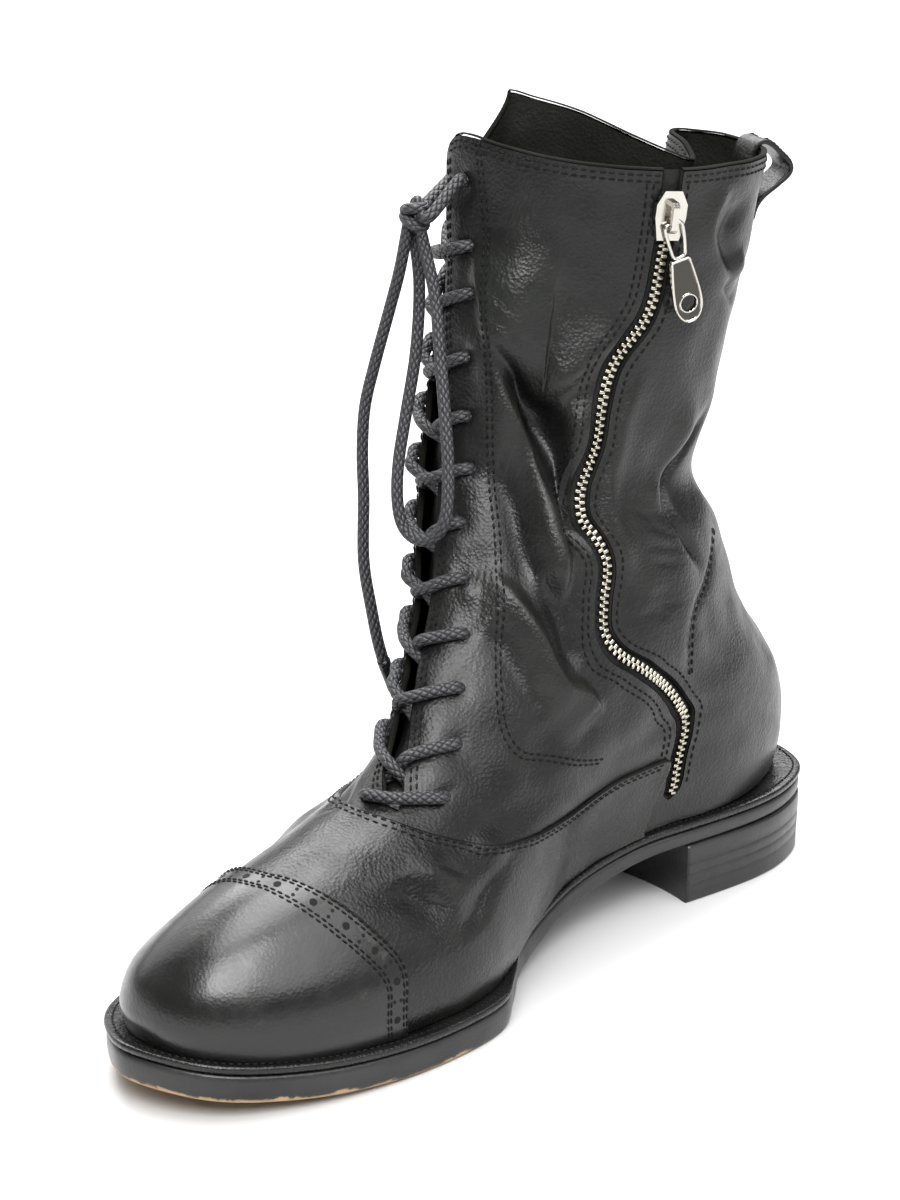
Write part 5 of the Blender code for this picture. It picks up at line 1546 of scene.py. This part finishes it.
@dataclass
class Sole:
    """Welt, outsole and heel."""

    form: BootForm
    seams: Seams
    stations: int = 230
    fine: int = 3200
    top_inset: float = 9.5
    tread_inset: float = 9.0
    stitch_inset: float = 2.7
    stitch_count: int = 290
    breast_y: float = 72.0
    breast_bow: float = 5.0
    breast_steps: int = 60
    back_steps: int = 150
    welt_rings: Pairs = (
        (1.6, -3.3), (0.9, -3.05), (0.35, -2.6), (0.08, -2.0), (0.0, -1.4), (0.12, -0.9), (0.45, -0.5),
        (1.0, -0.32), (2.0, -0.28), (9.5, -0.25))
    sole_rings: Pairs = (
        (9.0, 0.0), (2.8, 0.0), (1.7, 0.03), (1.1, 0.09), (0.85, 0.2), (0.65, 0.36), (0.55, 0.55),
        (0.6, 0.75), (0.8, 0.9), (1.2, 0.97), (1.9, 1.0), (8.0, 1.0))
    heel_rings: Pairs = (
        (3.0, 0.0), (1.6, 0.15), (1.1, 0.9), (1.0, 5.9), (1.25, 6.3), (1.25, 6.6), (0.9, 7.0), (0.75, 10.6),
        (0.95, 10.8), (0.7, 11.0), (0.6, 14.6), (0.8, 14.8), (0.55, 15.0), (0.5, 20.6), (0.8, 21.3),
        (1.4, 21.6))

    def outline(self, inset: float) -> Array:
        """The sole's outline set in by a distance, from the toe down the inner side and back up.

        Args:
            inset: distance inside the outline.

        Returns:
            Points (x, y) of a closed loop.
        """
        closed = np.array(OUTLINE, float)
        around = np.linspace(1, len(closed) + 1, self.fine + 1)
        fine = catmull(np.vstack([closed[-1:], closed, closed[:2]]), around)[:-1]
        fine = np.roll(fine, -fine[:, 1].argmin(), axis=0)
        heel = fine[:, 1].argmax()
        toe_y, heel_y = fine[0, 1], fine[heel, 1]
        want = toe_y + (heel_y - toe_y) * (1 - np.cos(np.linspace(0.0, math.pi, self.stations + 1))) / 2
        halves = []
        for side in (fine[: heel + 1], np.vstack([fine[heel:], fine[:1]])[::-1]):
            halves.append(np.stack([np.interp(want, side[:, 1], side[:, 0]), want], axis=1))
        loop = np.concatenate([halves[0], halves[1][::-1][1:-1]])
        ahead = np.roll(loop, -1, axis=0) - np.roll(loop, 1, axis=0)
        return loop + unit(np.stack([-ahead[:, 1], ahead[:, 0]], axis=1)) * inset

    def cover(self, name: str, inset: float, height: Height, upward: bool) -> Piece:
        """A face across the outline, from its inner half to its outer half.

        Args:
            name: the piece's name.
            inset: distance inside the outline.
            height: height of the face at each y.
            upward: whether it looks up.

        Returns:
            The piece.
        """
        loop = self.outline(inset)
        count = self.stations
        mates = (-np.arange(count + 1)) % (2 * count)

        def shape(u: Array, v: Array) -> Array:
            j = steps(v, count)
            share = (1 - u if upward else u)[:, None]
            flat = loop[j] * (1 - share) + loop[mates[j]] * share
            return np.c_[flat, height(flat[:, 1])] + CENTRING

        return Workshop.grid(name, 12, count, shape)

    def band(self, name: str, layers: Sequence[Tuple[float, Height]]) -> Piece:
        """A closed band from rings of (inset, height).

        Args:
            name: the piece's name.
            layers: inset and height of each ring.

        Returns:
            The piece.
        """
        rings = []
        for inset, height in layers:
            loop = self.outline(inset)
            rings.append(np.c_[loop, height(loop[:, 1])] + CENTRING)
        rings = np.array(rings)
        count = rings.shape[1]

        def shape(u: Array, v: Array) -> Array:
            return rings[steps(v, len(layers) - 1), steps(u, count) % count]

        return Workshop.weld(Workshop.grid(name, count, len(layers) - 1, shape), 0.005)

    def build(self) -> None:
        """Make the three layers and the welt's stitching."""
        layers = [(inset, lambda y, drop=drop: feather(y) + drop) for inset, drop in self.welt_rings]
        lowered = self.welt_rings[-1][1]
        welt = Workshop.join("welt_ledge", [self.band("welt_ledge", layers), self.cover(
            "welt_top", self.top_inset, lambda y: feather(y) + lowered, True)])
        Workshop.weld(welt, 0.005)
        Workshop.dress(welt, Finishes.WELT, Slot.SOLE, nodes=("welt",))
        layers = [(inset, lambda y, share=share: sole_bottom(y) + share * (sole_top(y) - sole_bottom(y)))
                  for inset, share in self.sole_rings]
        outsole = Workshop.join("outsole_leather", [self.band("outsole_leather", layers), self.cover(
            "sole_tread", self.tread_inset, sole_bottom, False)])
        Workshop.weld(outsole, 0.005)
        co = Workshop.points(outsole) / MM - CENTRING
        worn = 4.0 * smooth((co[:, 1] + 60.0) / 60.0)
        Workshop.mark(outsole, "low", co[:, 2] - sole_bottom(co[:, 1]) + worn)
        Workshop.dress(outsole, Finishes.SOLE, Slot.SOLE, nodes=("outsole",))
        loop = self.outline(self.stitch_inset)
        line = evenly(np.c_[loop, feather(loop[:, 1]) - 0.2] + CENTRING, self.stitch_count)
        self.seams.add(line, np.tile(UP, (len(line), 1)))
        self.heel()

    def heel(self) -> None:
        """The heel block with its lifts, breast and top piece."""
        rings = []
        count = self.back_steps + self.breast_steps
        share = np.linspace(0, 1, self.breast_steps + 2)[1:-1]
        bow = self.breast_bow * (1 - (2 * share - 1) ** 2)
        for inset, z in self.heel_rings:
            loop = self.outline(inset)
            full = loop[loop[:, 1] > self.breast_y + 0.4 * inset]
            order = np.argsort(np.arctan2(full[:, 0], full[:, 1] - self.breast_y))
            back = evenly(full[order], self.back_steps)
            breast = back[-1] + (back[0] - back[-1]) * share[:, None]
            breast[:, 1] += bow
            rings.append(np.c_[np.vstack([back, breast]), np.full(count, z)] + CENTRING)
        rings = np.array(rings)

        def shape(u: Array, v: Array) -> Array:
            return rings[steps(v, len(rings) - 1), steps(1 - u, count) % count]

        item = Workshop.weld(Workshop.grid("heel_stack", count, len(rings) - 1, shape), 0.005)
        Workshop.cap(item)
        Workshop.mark(item, "low", np.full(len(item.data.vertices), 9.0))
        Workshop.dress(item, Finishes.SOLE, Slot.SOLE, nodes=("heel",))


@dataclass
class Zip:
    """The zip: tape, teeth, slider and pull."""

    form: BootForm
    pitch: float = 2.35
    slider_row: float = 13.62
    pin_down: float = 2.2
    pin_out: float = 4.1
    swing: float = -19.0
    hole_down: float = 27.5
    hole_radius: float = 2.7
    tape_lap: float = 3.0
    link_radius: float = 0.62
    face_level: float = 0.55
    tooth_place: Triple = (0.75, 0.0, -0.35)
    tooth_size: Triple = (2.1, 1.15, 1.8)
    tab: Pairs = (
        (12.0, 2.6), (12.4, 3.5), (14.0, 3.75), (18.0, 4.35), (24.0, 5.0), (28.5, 5.0), (31.2, 4.2),
        (33.2, 2.8), (34.2, 1.0))
    tab_rings: Tuple[Tuple[Ring, float, float], ...] = (
        (Ring.HOLE, 0.0, -0.8), (Ring.HOLE, 0.0, 0.75), (Ring.HOLE, 0.12, 0.9), (Ring.HOLE, 0.45, 0.9),
        (Ring.HOLE, 0.7, 0.55), (Ring.RIM, 0.95, 0.55), (Ring.RIM, 0.7, 0.9), (Ring.RIM, 0.3, 0.9),
        (Ring.RIM, 0.08, 0.7), (Ring.RIM, 0.0, 0.3), (Ring.RIM, 0.0, -0.4), (Ring.RIM, 0.3, -0.8),
        (Ring.HOLE, 0.0, -0.8))
    link: Pairs = (
        (0.0, 0.0), (2.3, 0.0), (3.0, 1.2), (2.9, 5.0), (2.4, 9.0), (1.9, 11.0), (0.0, 11.6), (-1.9, 11.0),
        (-2.4, 9.0), (-2.9, 5.0), (-3.0, 1.2), (-2.3, 0.0), (0.0, 0.0))

    def build(self) -> None:
        """Make the tape and teeth, and finish the slider and pull."""
        def tape(u: Array, v: Array) -> Array:
            rows = ZIP_FOOT + (TOP_ROW - ZIP_FOOT) * v
            centre, across, _, out = self.form.zip_frame(rows)
            side = (u - 0.5) * 2 * (ZIP_HALF_SLOT + self.tape_lap)
            depth = -1.1 - 1.3 * np.abs(u - 0.5) * 2
            return centre + across * side[:, None] + out * depth[:, None]

        item = Workshop.grid("zip_tape", 10, 260, tape)
        Workshop.dress(item, Finishes.TAPE, Slot.ZIP, nodes=("zip_chain",))
        self.teeth()
        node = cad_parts["zip_slider"]
        node.data.materials.clear()
        node.data.materials.append(Finishes.get(Finishes.ZIP_METAL))
        soft = node.modifiers.new("rounded", "BEVEL")
        soft.width, soft.segments = 0.55 * MM, 3
        self.pull()

    def pull_frame(self) -> Tuple[Array, Array]:
        """Origin of the pull's pin, and its across, down and out directions as columns."""
        centre, across, down, out = (v[0] for v in self.form.zip_frame(np.array([self.slider_row])))
        turn = math.radians(self.swing)
        swung = np.c_[across * math.cos(turn) + down * math.sin(turn),
                      down * math.cos(turn) - across * math.sin(turn), out]
        return centre + down * self.pin_down + out * self.pin_out, swung

    def pull(self) -> None:
        """The wire link and the rimmed tab with its round hole."""
        origin, axes = self.pull_frame()
        half = np.array(self.tab, float)
        right = catmull(np.stack([half[:, 1], half[:, 0]], axis=1), np.linspace(0, len(half) - 1, 60))
        plan = np.vstack([right, right[::-1] * (-1, 1)])
        plan = evenly(np.vstack([plan, plan[:1]]), 121)[:-1]
        ahead = np.roll(plan, -1, axis=0) - np.roll(plan, 1, axis=0)
        inward = unit(np.stack([-ahead[:, 1], ahead[:, 0]], axis=1))
        hub = np.array([0.0, self.hole_down])
        aim = unit(plan - hub)
        rings = []
        for ring, away, level in self.tab_rings:
            flat = hub + aim * (self.hole_radius + away) if ring is Ring.HOLE else plan + inward * away
            rings.append(origin + np.c_[flat, np.full(len(flat), level)] @ axes.T)
        rings = np.array(rings)
        count = len(plan)

        def shape(u: Array, v: Array) -> Array:
            return rings[steps(v, len(rings) - 1), steps(u, count) % count]

        tab = Workshop.weld(Workshop.grid("pull_tab", count, len(rings) - 1, shape), 0.003)
        Workshop.pick(tab)
        bpy.ops.object.mode_set(mode="EDIT")
        bpy.ops.mesh.select_all(action="SELECT")
        bpy.ops.mesh.normals_make_consistent(inside=False)
        bpy.ops.object.mode_set(mode="OBJECT")
        bpy.ops.object.shade_smooth_by_angle(angle=math.radians(35))
        Workshop.dress(tab, Finishes.ZIP_METAL, Slot.ZIP, Body.PULL, ("zip_pull",))
        tab.data.materials.append(Finishes.get(Finishes.TAB_FACE))
        for face in tab.data.polygons:
            middle = (np.array(face.center) / MM - origin) @ axes
            if abs(middle[2] - self.face_level) < 0.05 and np.dot(face.normal, axes[:, 2]) > 0.9:
                face.material_index = 1
        wire = curve_through(self.link, 73)[:-1]
        path = origin + np.c_[wire, np.zeros(len(wire))] @ axes.T
        link = Workshop.tube("pull_link", path, self.link_radius, 10, closed=True)
        Workshop.dress(link, Finishes.ZIP_METAL, Slot.ZIP, Body.PULL)

    def teeth(self) -> None:
        """Two staggered files of teeth."""
        fine = np.linspace(ZIP_FOOT + 0.05, self.slider_row - 0.12, 700)
        line = self.form.place(fine, self.form.zip_turn(fine))
        run = run_along(line)
        frames = []
        for side, shift in ((1.0, 0.0), (-1.0, 0.5)):
            rows = np.interp(np.arange(shift * self.pitch, run[-1], self.pitch), run, fine)
            centre, across, down, out = self.form.zip_frame(rows)
            frames.append(frames_at(across * side, down * side, out, centre))
        Workshop.deselect()
        bpy.ops.mesh.primitive_cube_add(size=1.0)
        tooth = bpy.context.active_object
        tooth.data.transform(Matrix.Translation(self.tooth_place) @ Matrix.Diagonal((*self.tooth_size, 1.0)))
        Workshop.modify(tooth, "BEVEL", width=0.36, segments=2)
        item = Workshop.copies("zip_teeth", tooth, np.concatenate(frames))
        Workshop.dress(item, Finishes.TEETH, Slot.ZIP)


@dataclass
class Lacing:
    """The criss-cross lacing, its knot, and the loop and end that hang from it."""

    form: BootForm
    radius: float = 2.0
    drawn: float = 0.95
    tip_extra: float = 0.25
    tip_ends: Triple = (2.2, 1.8, 1.2)
    tip_point: float = 0.6
    wraps: Tuple[Tuple[float, ...], ...] = ((3.5, 3.0, 0.30, 1.6, 0.0), (3.6, 3.1, -0.40, -2.0, 0.4))
    bar: Pairs = (
        (-0.05, -1.6), (0.0, 0.9), (0.08, 2.2), (0.35, 2.6), (0.65, 2.6), (0.92, 2.2), (1.0, 0.9),
        (1.05, -1.6))

    def hole(self, index: int, inner: bool) -> Pair:
        """Place of a punched hole."""
        row, turn = HOLES[index]
        if inner:
            return row, turn
        return row, self.form.mirrored(row, turn, 0.5)

    def pass_over(self, index: int, to_inner: bool, over: float) -> Array:
        """Chosen points of one pass: out from under one flap, across, over the other and into its hole.

        Args:
            index: number of the hole that it ends in.
            to_inner: whether that is on the inner flap.
            over: height where it crosses the other pass.

        Returns:
            The chosen points.
        """
        row, turn = self.hole(index, to_inner)
        before, _ = self.hole(index - 1, not to_inner)
        sign = 1.0 if to_inner else -1.0
        gap = row - before
        chosen = []
        for share, away, height in ((0.30, -0.045, -4.2), (0.42, -0.008, -3.0), (0.58, None, over),
                                    (0.72, 0.004, 2.3), (0.86, 0.45, 2.1), (0.97, 0.86, 2.0), (1.0, 1.0, 0.7),
                                    (1.0, 1.05, -1.6)):
            at = before + gap * share
            edges = [float(edge[0]) for edge in self.form.throat(np.array([at]))]
            far, near = (edges[1], edges[0]) if to_inner else (edges[0], edges[1])
            if away is None:
                place = (far + near) / 2
            elif share < 0.5:
                place = far + sign * away
            elif away < 0.1:
                place = near + sign * away
            else:
                place = near + (turn - near) * away
            chosen.append(self.form.place(at, place, height))
        return np.array(chosen)

    def knot_frame(self) -> Tuple[Array, Array, Array, Array]:
        """Centre of the knot and its across, up and out directions."""
        row, turn = np.array([KNOT_ROW]), np.array([KNOT_TURN])
        out = self.form.normal(row, turn)[0]
        across = unit(np.cross(UP, out))
        return self.form.place(row, turn, np.array([KNOT_HEIGHT]))[0], across, np.cross(out, across), out

    def port(self, name: str, further: float = 0.0) -> Array:
        """Where a lace meets the knot, or a little further out."""
        centre, across, up, out = self.knot_frame()
        a, b, c = KNOT_PORTS[name]
        reach = across * a + up * b + out * c
        return centre + reach * (1.0 + further / np.linalg.norm(reach))

    def build(self) -> None:
        """Make every pass, the knot and the free lace."""
        passes = []
        for index in range(1, len(HOLES) - 1):
            for to_inner in (True, False):
                over = 1.9 if to_inner == (index % 2 == 0) else -2.1
                passes.append(curve_through(self.pass_over(index, to_inner, over), 34))
        inner, outer = self.hole(0, True), self.hole(0, False)
        bar = []
        for share, height in self.bar:
            turn = outer[1] + (inner[1] - outer[1]) * share
            bar.append(self.form.place(inner[0], turn, height))
        passes.append(curve_through(bar, 40))
        last = len(HOLES) - 1
        for to_inner, name in ((True, "lacing_in"), (False, "lacing_out")):
            row, turn = self.hole(last, to_inner)
            start = [self.form.place(row, turn, height) for height in (-1.6, 0.9, 2.8)]
            passes.append(curve_through(start + [self.port(name, 3.5), self.port(name, -1.5)], 36))
        pieces = [Workshop.tube("lace_pass", path, self.radius, 12) for path in passes]
        item = Workshop.join("lace_passes", pieces)
        Workshop.dress(item, Finishes.LACE, Slot.LACE, nodes=("lace_crossings_low", "lace_crossings_high"))
        self.knot()
        self.free()

    def knot(self) -> None:
        """The tied knot: two wraps round the standing strands and a tucked bight."""
        centre, across, up, out = self.knot_frame()
        turn = np.linspace(0, 2 * math.pi, 60, endpoint=False)
        rings = []
        thin = self.radius * self.drawn
        for wide, deep, tilt, rise, lean in self.wraps:
            flat = across * (np.cos(turn) * wide)[:, None] + out * (np.sin(turn) * deep)[:, None]
            lift = up * (rise + tilt * wide * np.cos(turn + lean))[:, None]
            rings.append(Workshop.tube("knot_wrap", centre + flat + lift, thin, 12, closed=True))
        tucked = [centre + up * high + across * aside
                  for high, aside in ((-2.0, -1.2), (3.4, 0.0), (4.2, 1.9), (1.0, 2.2))]
        strand = [self.port("loop_out", 0.5), *tucked, self.port("loop_back", 0.5)]
        rings.append(Workshop.tube("knot_wrap", curve_through(strand, 60), thin, 12))
        item = Workshop.join("lace_knot_wraps", rings)
        Workshop.dress(item, Finishes.LACE, Slot.LACE, nodes=("lace_knot",))

    def free(self) -> None:
        """The loop and the end, with the end's tip."""
        chosen = [self.port("loop_out")] + [np.array(p) + CENTRING for p in LOOP] + [self.port("loop_back")]
        loop = curve_through(chosen, 150)
        item = Workshop.tube("lace_loop_cord", loop, self.radius, 14)
        Workshop.dress(item, Finishes.LACE, Slot.LACE, nodes=("lace_loop",))
        chosen = [self.port("end")] + [np.array(p) + CENTRING for p in END]
        end = curve_through(chosen, 130)
        item = Workshop.tube("lace_end_cord", end, self.radius, 14)
        Workshop.dress(item, Finishes.LACE, Slot.LACE, nodes=("lace_end",))
        tip = end[-12:]
        wide = np.full(len(tip) + 1, self.radius + self.tip_extra)
        wide[-4:] = (*self.tip_ends, self.tip_point)
        path = np.vstack([tip, tip[-1] + (tip[-1] - tip[-2]) * 0.5])
        aglet = Workshop.tube("lace_tip", path, wide, 14)
        Workshop.dress(aglet, Finishes.TIP, Slot.LACE)


@dataclass
class PullLoop:
    """The leather loop at the back of the collar."""

    form: BootForm
    seams: Seams
    wide: float = 13.0
    thick: float = 1.6
    count: int = 90
    stitch_lift: float = 0.85
    stitch_margin: float = 3.0
    stitch_count: int = 30

    def build(self) -> None:
        """Make the strap and its stitches."""
        back = 1.0
        edge = self.form.place(TOP_ROW, back)
        out = self.form.normal(13.7, back)
        out[2] = 0.0
        out = out / np.linalg.norm(out)
        lean = edge - self.form.place(13.2, back)
        lean = lean / lean[2]
        side = np.cross(UP, out)
        fine = curve_through(PULL_LOOP, self.count)
        path = np.array([edge + out * away + (lean if rise < 0 else UP) * rise for away, rise in fine])
        face = unit(np.cross(np.tile(side, (self.count, 1)), unit(np.gradient(path, axis=0))))

        def shape(u: Array, v: Array) -> Array:
            return path[steps(v, self.count - 1)] + side * ((u - 0.5) * self.wide)[:, None]

        item = Workshop.grid("pull_strap", 14, self.count - 1, shape)
        Workshop.modify(item, "SOLIDIFY", thickness=self.thick * MM, offset=0.0)
        Workshop.modify(item, "BEVEL", width=0.4 * MM, segments=2, limit_method="ANGLE")
        Workshop.dress(item, Finishes.SHAFT, Slot.LEATHER, nodes=("pull_loop",))
        proud = path + face * self.stitch_lift * np.sign(face @ out)[:, None]
        for away in (-0.5, 0.5):
            line = evenly(proud + side * (away * (self.wide - self.stitch_margin)), self.stitch_count)
            self.seams.add(line, np.tile(out, (self.stitch_count, 1)))


@dataclass
class Studio:
    """Floor, light and camera; the lamps are in metres and watts."""

    target: Triple = (-1.54, -7.73, 124.27)
    azimuth: float = 44.37
    elevation: float = 19.25
    roll: float = -0.68
    distance: float = 961.7
    lens: float = 60.0
    sensor: float = 24.0
    floor_tone: float = 0.5
    sky: float = 0.22
    boot: Triple = (0.0, 0.0, 0.1)

    def build(self) -> None:
        """Make the floor, the lamps and the camera."""
        self.floor()
        world = bpy.context.scene.world or bpy.data.worlds.new("studio")
        bpy.context.scene.world = world
        world.use_nodes = True
        back = next(n for n in world.node_tree.nodes if n.type == "BACKGROUND")
        back.inputs["Color"].default_value = (1.0, 1.0, 1.0, 1.0)
        back.inputs["Strength"].default_value = self.sky
        bpy.context.scene.view_settings.view_transform = "Standard"
        self.lamp("key", (0.75, -0.85, 1.3), self.boot, 0.9, 36.0)
        self.lamp("left", (-1.35, 0.0, 0.85), self.boot, 1.2, 8.0)
        self.lamp("right", (1.25, -0.05, 1.15), self.boot, 1.1, 15.0)
        self.lamp("rear", (1.25, 0.9, 0.5), self.boot, 0.9, 2.0)
        self.lamp("top", (-0.1, 0.08, 1.75), self.boot, 1.3, 48.0)
        self.lamp("sweep", (-1.57, 1.82, 2.0), (-1.57, 1.82, 0.0), 3.0, 190.0)
        self.camera()

    def floor(self) -> None:
        """A wide pale floor."""
        Workshop.deselect()
        bpy.ops.mesh.primitive_plane_add(size=30.0, location=(0.0, 0.0, 0.0))
        floor = bpy.context.active_object
        floor.name = "floor"
        made = bpy.data.materials.new("pale_floor")
        made.use_nodes = True
        shader = next(n for n in made.node_tree.nodes if n.type == "BSDF_PRINCIPLED")
        shader.inputs["Base Color"].default_value = (self.floor_tone, self.floor_tone, self.floor_tone, 1.0)
        shader.inputs["Roughness"].default_value = 0.6
        shader.inputs["Specular IOR Level"].default_value = 0.1
        floor.data.materials.append(made)

    @staticmethod
    def lamp(name: str, place: Triple, target: Triple, size: float, power: float) -> None:
        """A square soft light aimed at a target.

        Args:
            name: the lamp's name.
            place: where it hangs.
            target: the point that it faces.
            size: its side.
            power: its power.
        """
        Workshop.deselect()
        bpy.ops.object.light_add(type="AREA", location=place)
        item = bpy.context.active_object
        item.name = name
        item.data.shape = "SQUARE"
        item.data.size = size
        item.data.energy = power
        aim = Vector(target) - Vector(place)
        item.rotation_mode = "QUATERNION"
        item.rotation_quaternion = aim.to_track_quat("-Z", "Y")

    def camera(self) -> None:
        """The photograph's viewpoint, aimed at the one boot."""
        turn, lift, roll = (math.radians(v) for v in (self.azimuth, self.elevation, self.roll))
        back = np.array([math.sin(turn) * math.cos(lift), -math.cos(turn) * math.cos(lift), math.sin(lift)])
        right = np.array([math.cos(turn), math.sin(turn), 0.0])
        up = np.cross(right, -back)
        rolled = right * math.cos(roll) + up * math.sin(roll)
        upright = -right * math.sin(roll) + up * math.cos(roll)
        place = (np.array(self.target) + CENTRING + back * self.distance) * MM
        data = bpy.data.cameras.new("photo_view")
        data.sensor_fit = "AUTO"
        data.sensor_width = self.sensor
        data.lens = self.lens
        data.clip_start = 0.01
        item = bpy.data.objects.new("photo_view", data)
        bpy.context.scene.collection.objects.link(item)
        rows = np.c_[rolled, upright, back, place].tolist()
        item.matrix_world = Matrix(rows + [[0, 0, 0, 1]])
        bpy.context.scene.camera = item


def sew_upper(form: BootForm, seams: Seams) -> None:
    """Sew the facings, collar, zip and back seams of the upper.

    Args:
        form: the boot's surface.
        seams: where the stitches are kept.
    """
    lift = 0.05
    facing = (
        (13.95, .113), (12.65, .160), (11.55, .160), (10.35, .163), (9.05, .150), (8.15, .153), (7.4, .177),
        (6.8, .227), (6.3, .313), (5.2, .457))
    double = (-0.9, 0.9)
    seams.sew(facing, lift, double)
    rows = np.linspace(6.4, 13.8, 40)
    inner, outer = form.throat(rows)
    seams.sew(np.c_[rows, inner], lift, (-2.0, -3.7))
    seams.sew(np.c_[rows, outer], lift, (2.0, 3.7))
    seams.sew([(row, form.mirrored(row, turn)) for row, turn in facing if row > THROAT_FOOT], lift, double)
    rows = np.linspace(1.8, 13.85, 60)
    for across in (-5.9, -8.0, 5.9):
        seams.sew(np.c_[rows, form.zip_turn(rows, across)], lift)
    back_seam = ((9.88, .790), (9.25, .709), (8.72, .627), (8.12, .598), (7.15, .598))
    seams.sew(back_seam, lift, (-0.6, 1.0))
    for low, high in ((0.02, 0.505), (0.575, 1.81)):
        turns = np.linspace(low, high, 60)
        for row in (13.95, 13.895):
            seams.sew(np.c_[np.full_like(turns, row), turns], lift)


def main() -> None:
    """Build every sub-assembly in order."""
    logging.basicConfig(level=logging.INFO, format="%(message)s")
    form = BootForm(CREASES)
    seams = Seams(form)
    Studio().build()
    Lacing(form).build()
    Upper(form).build()
    Panels(form, seams).build()
    Sole(form, seams).build()
    Zip(form).build()
    PullLoop(form, seams).build()
    sew_upper(form, seams)
    seams.build()
    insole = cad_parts["insole"]
    insole.data.materials.clear()
    insole.data.materials.append(Finishes.get(Finishes.FOOTBED))


if __name__ == "__main__":
    main()
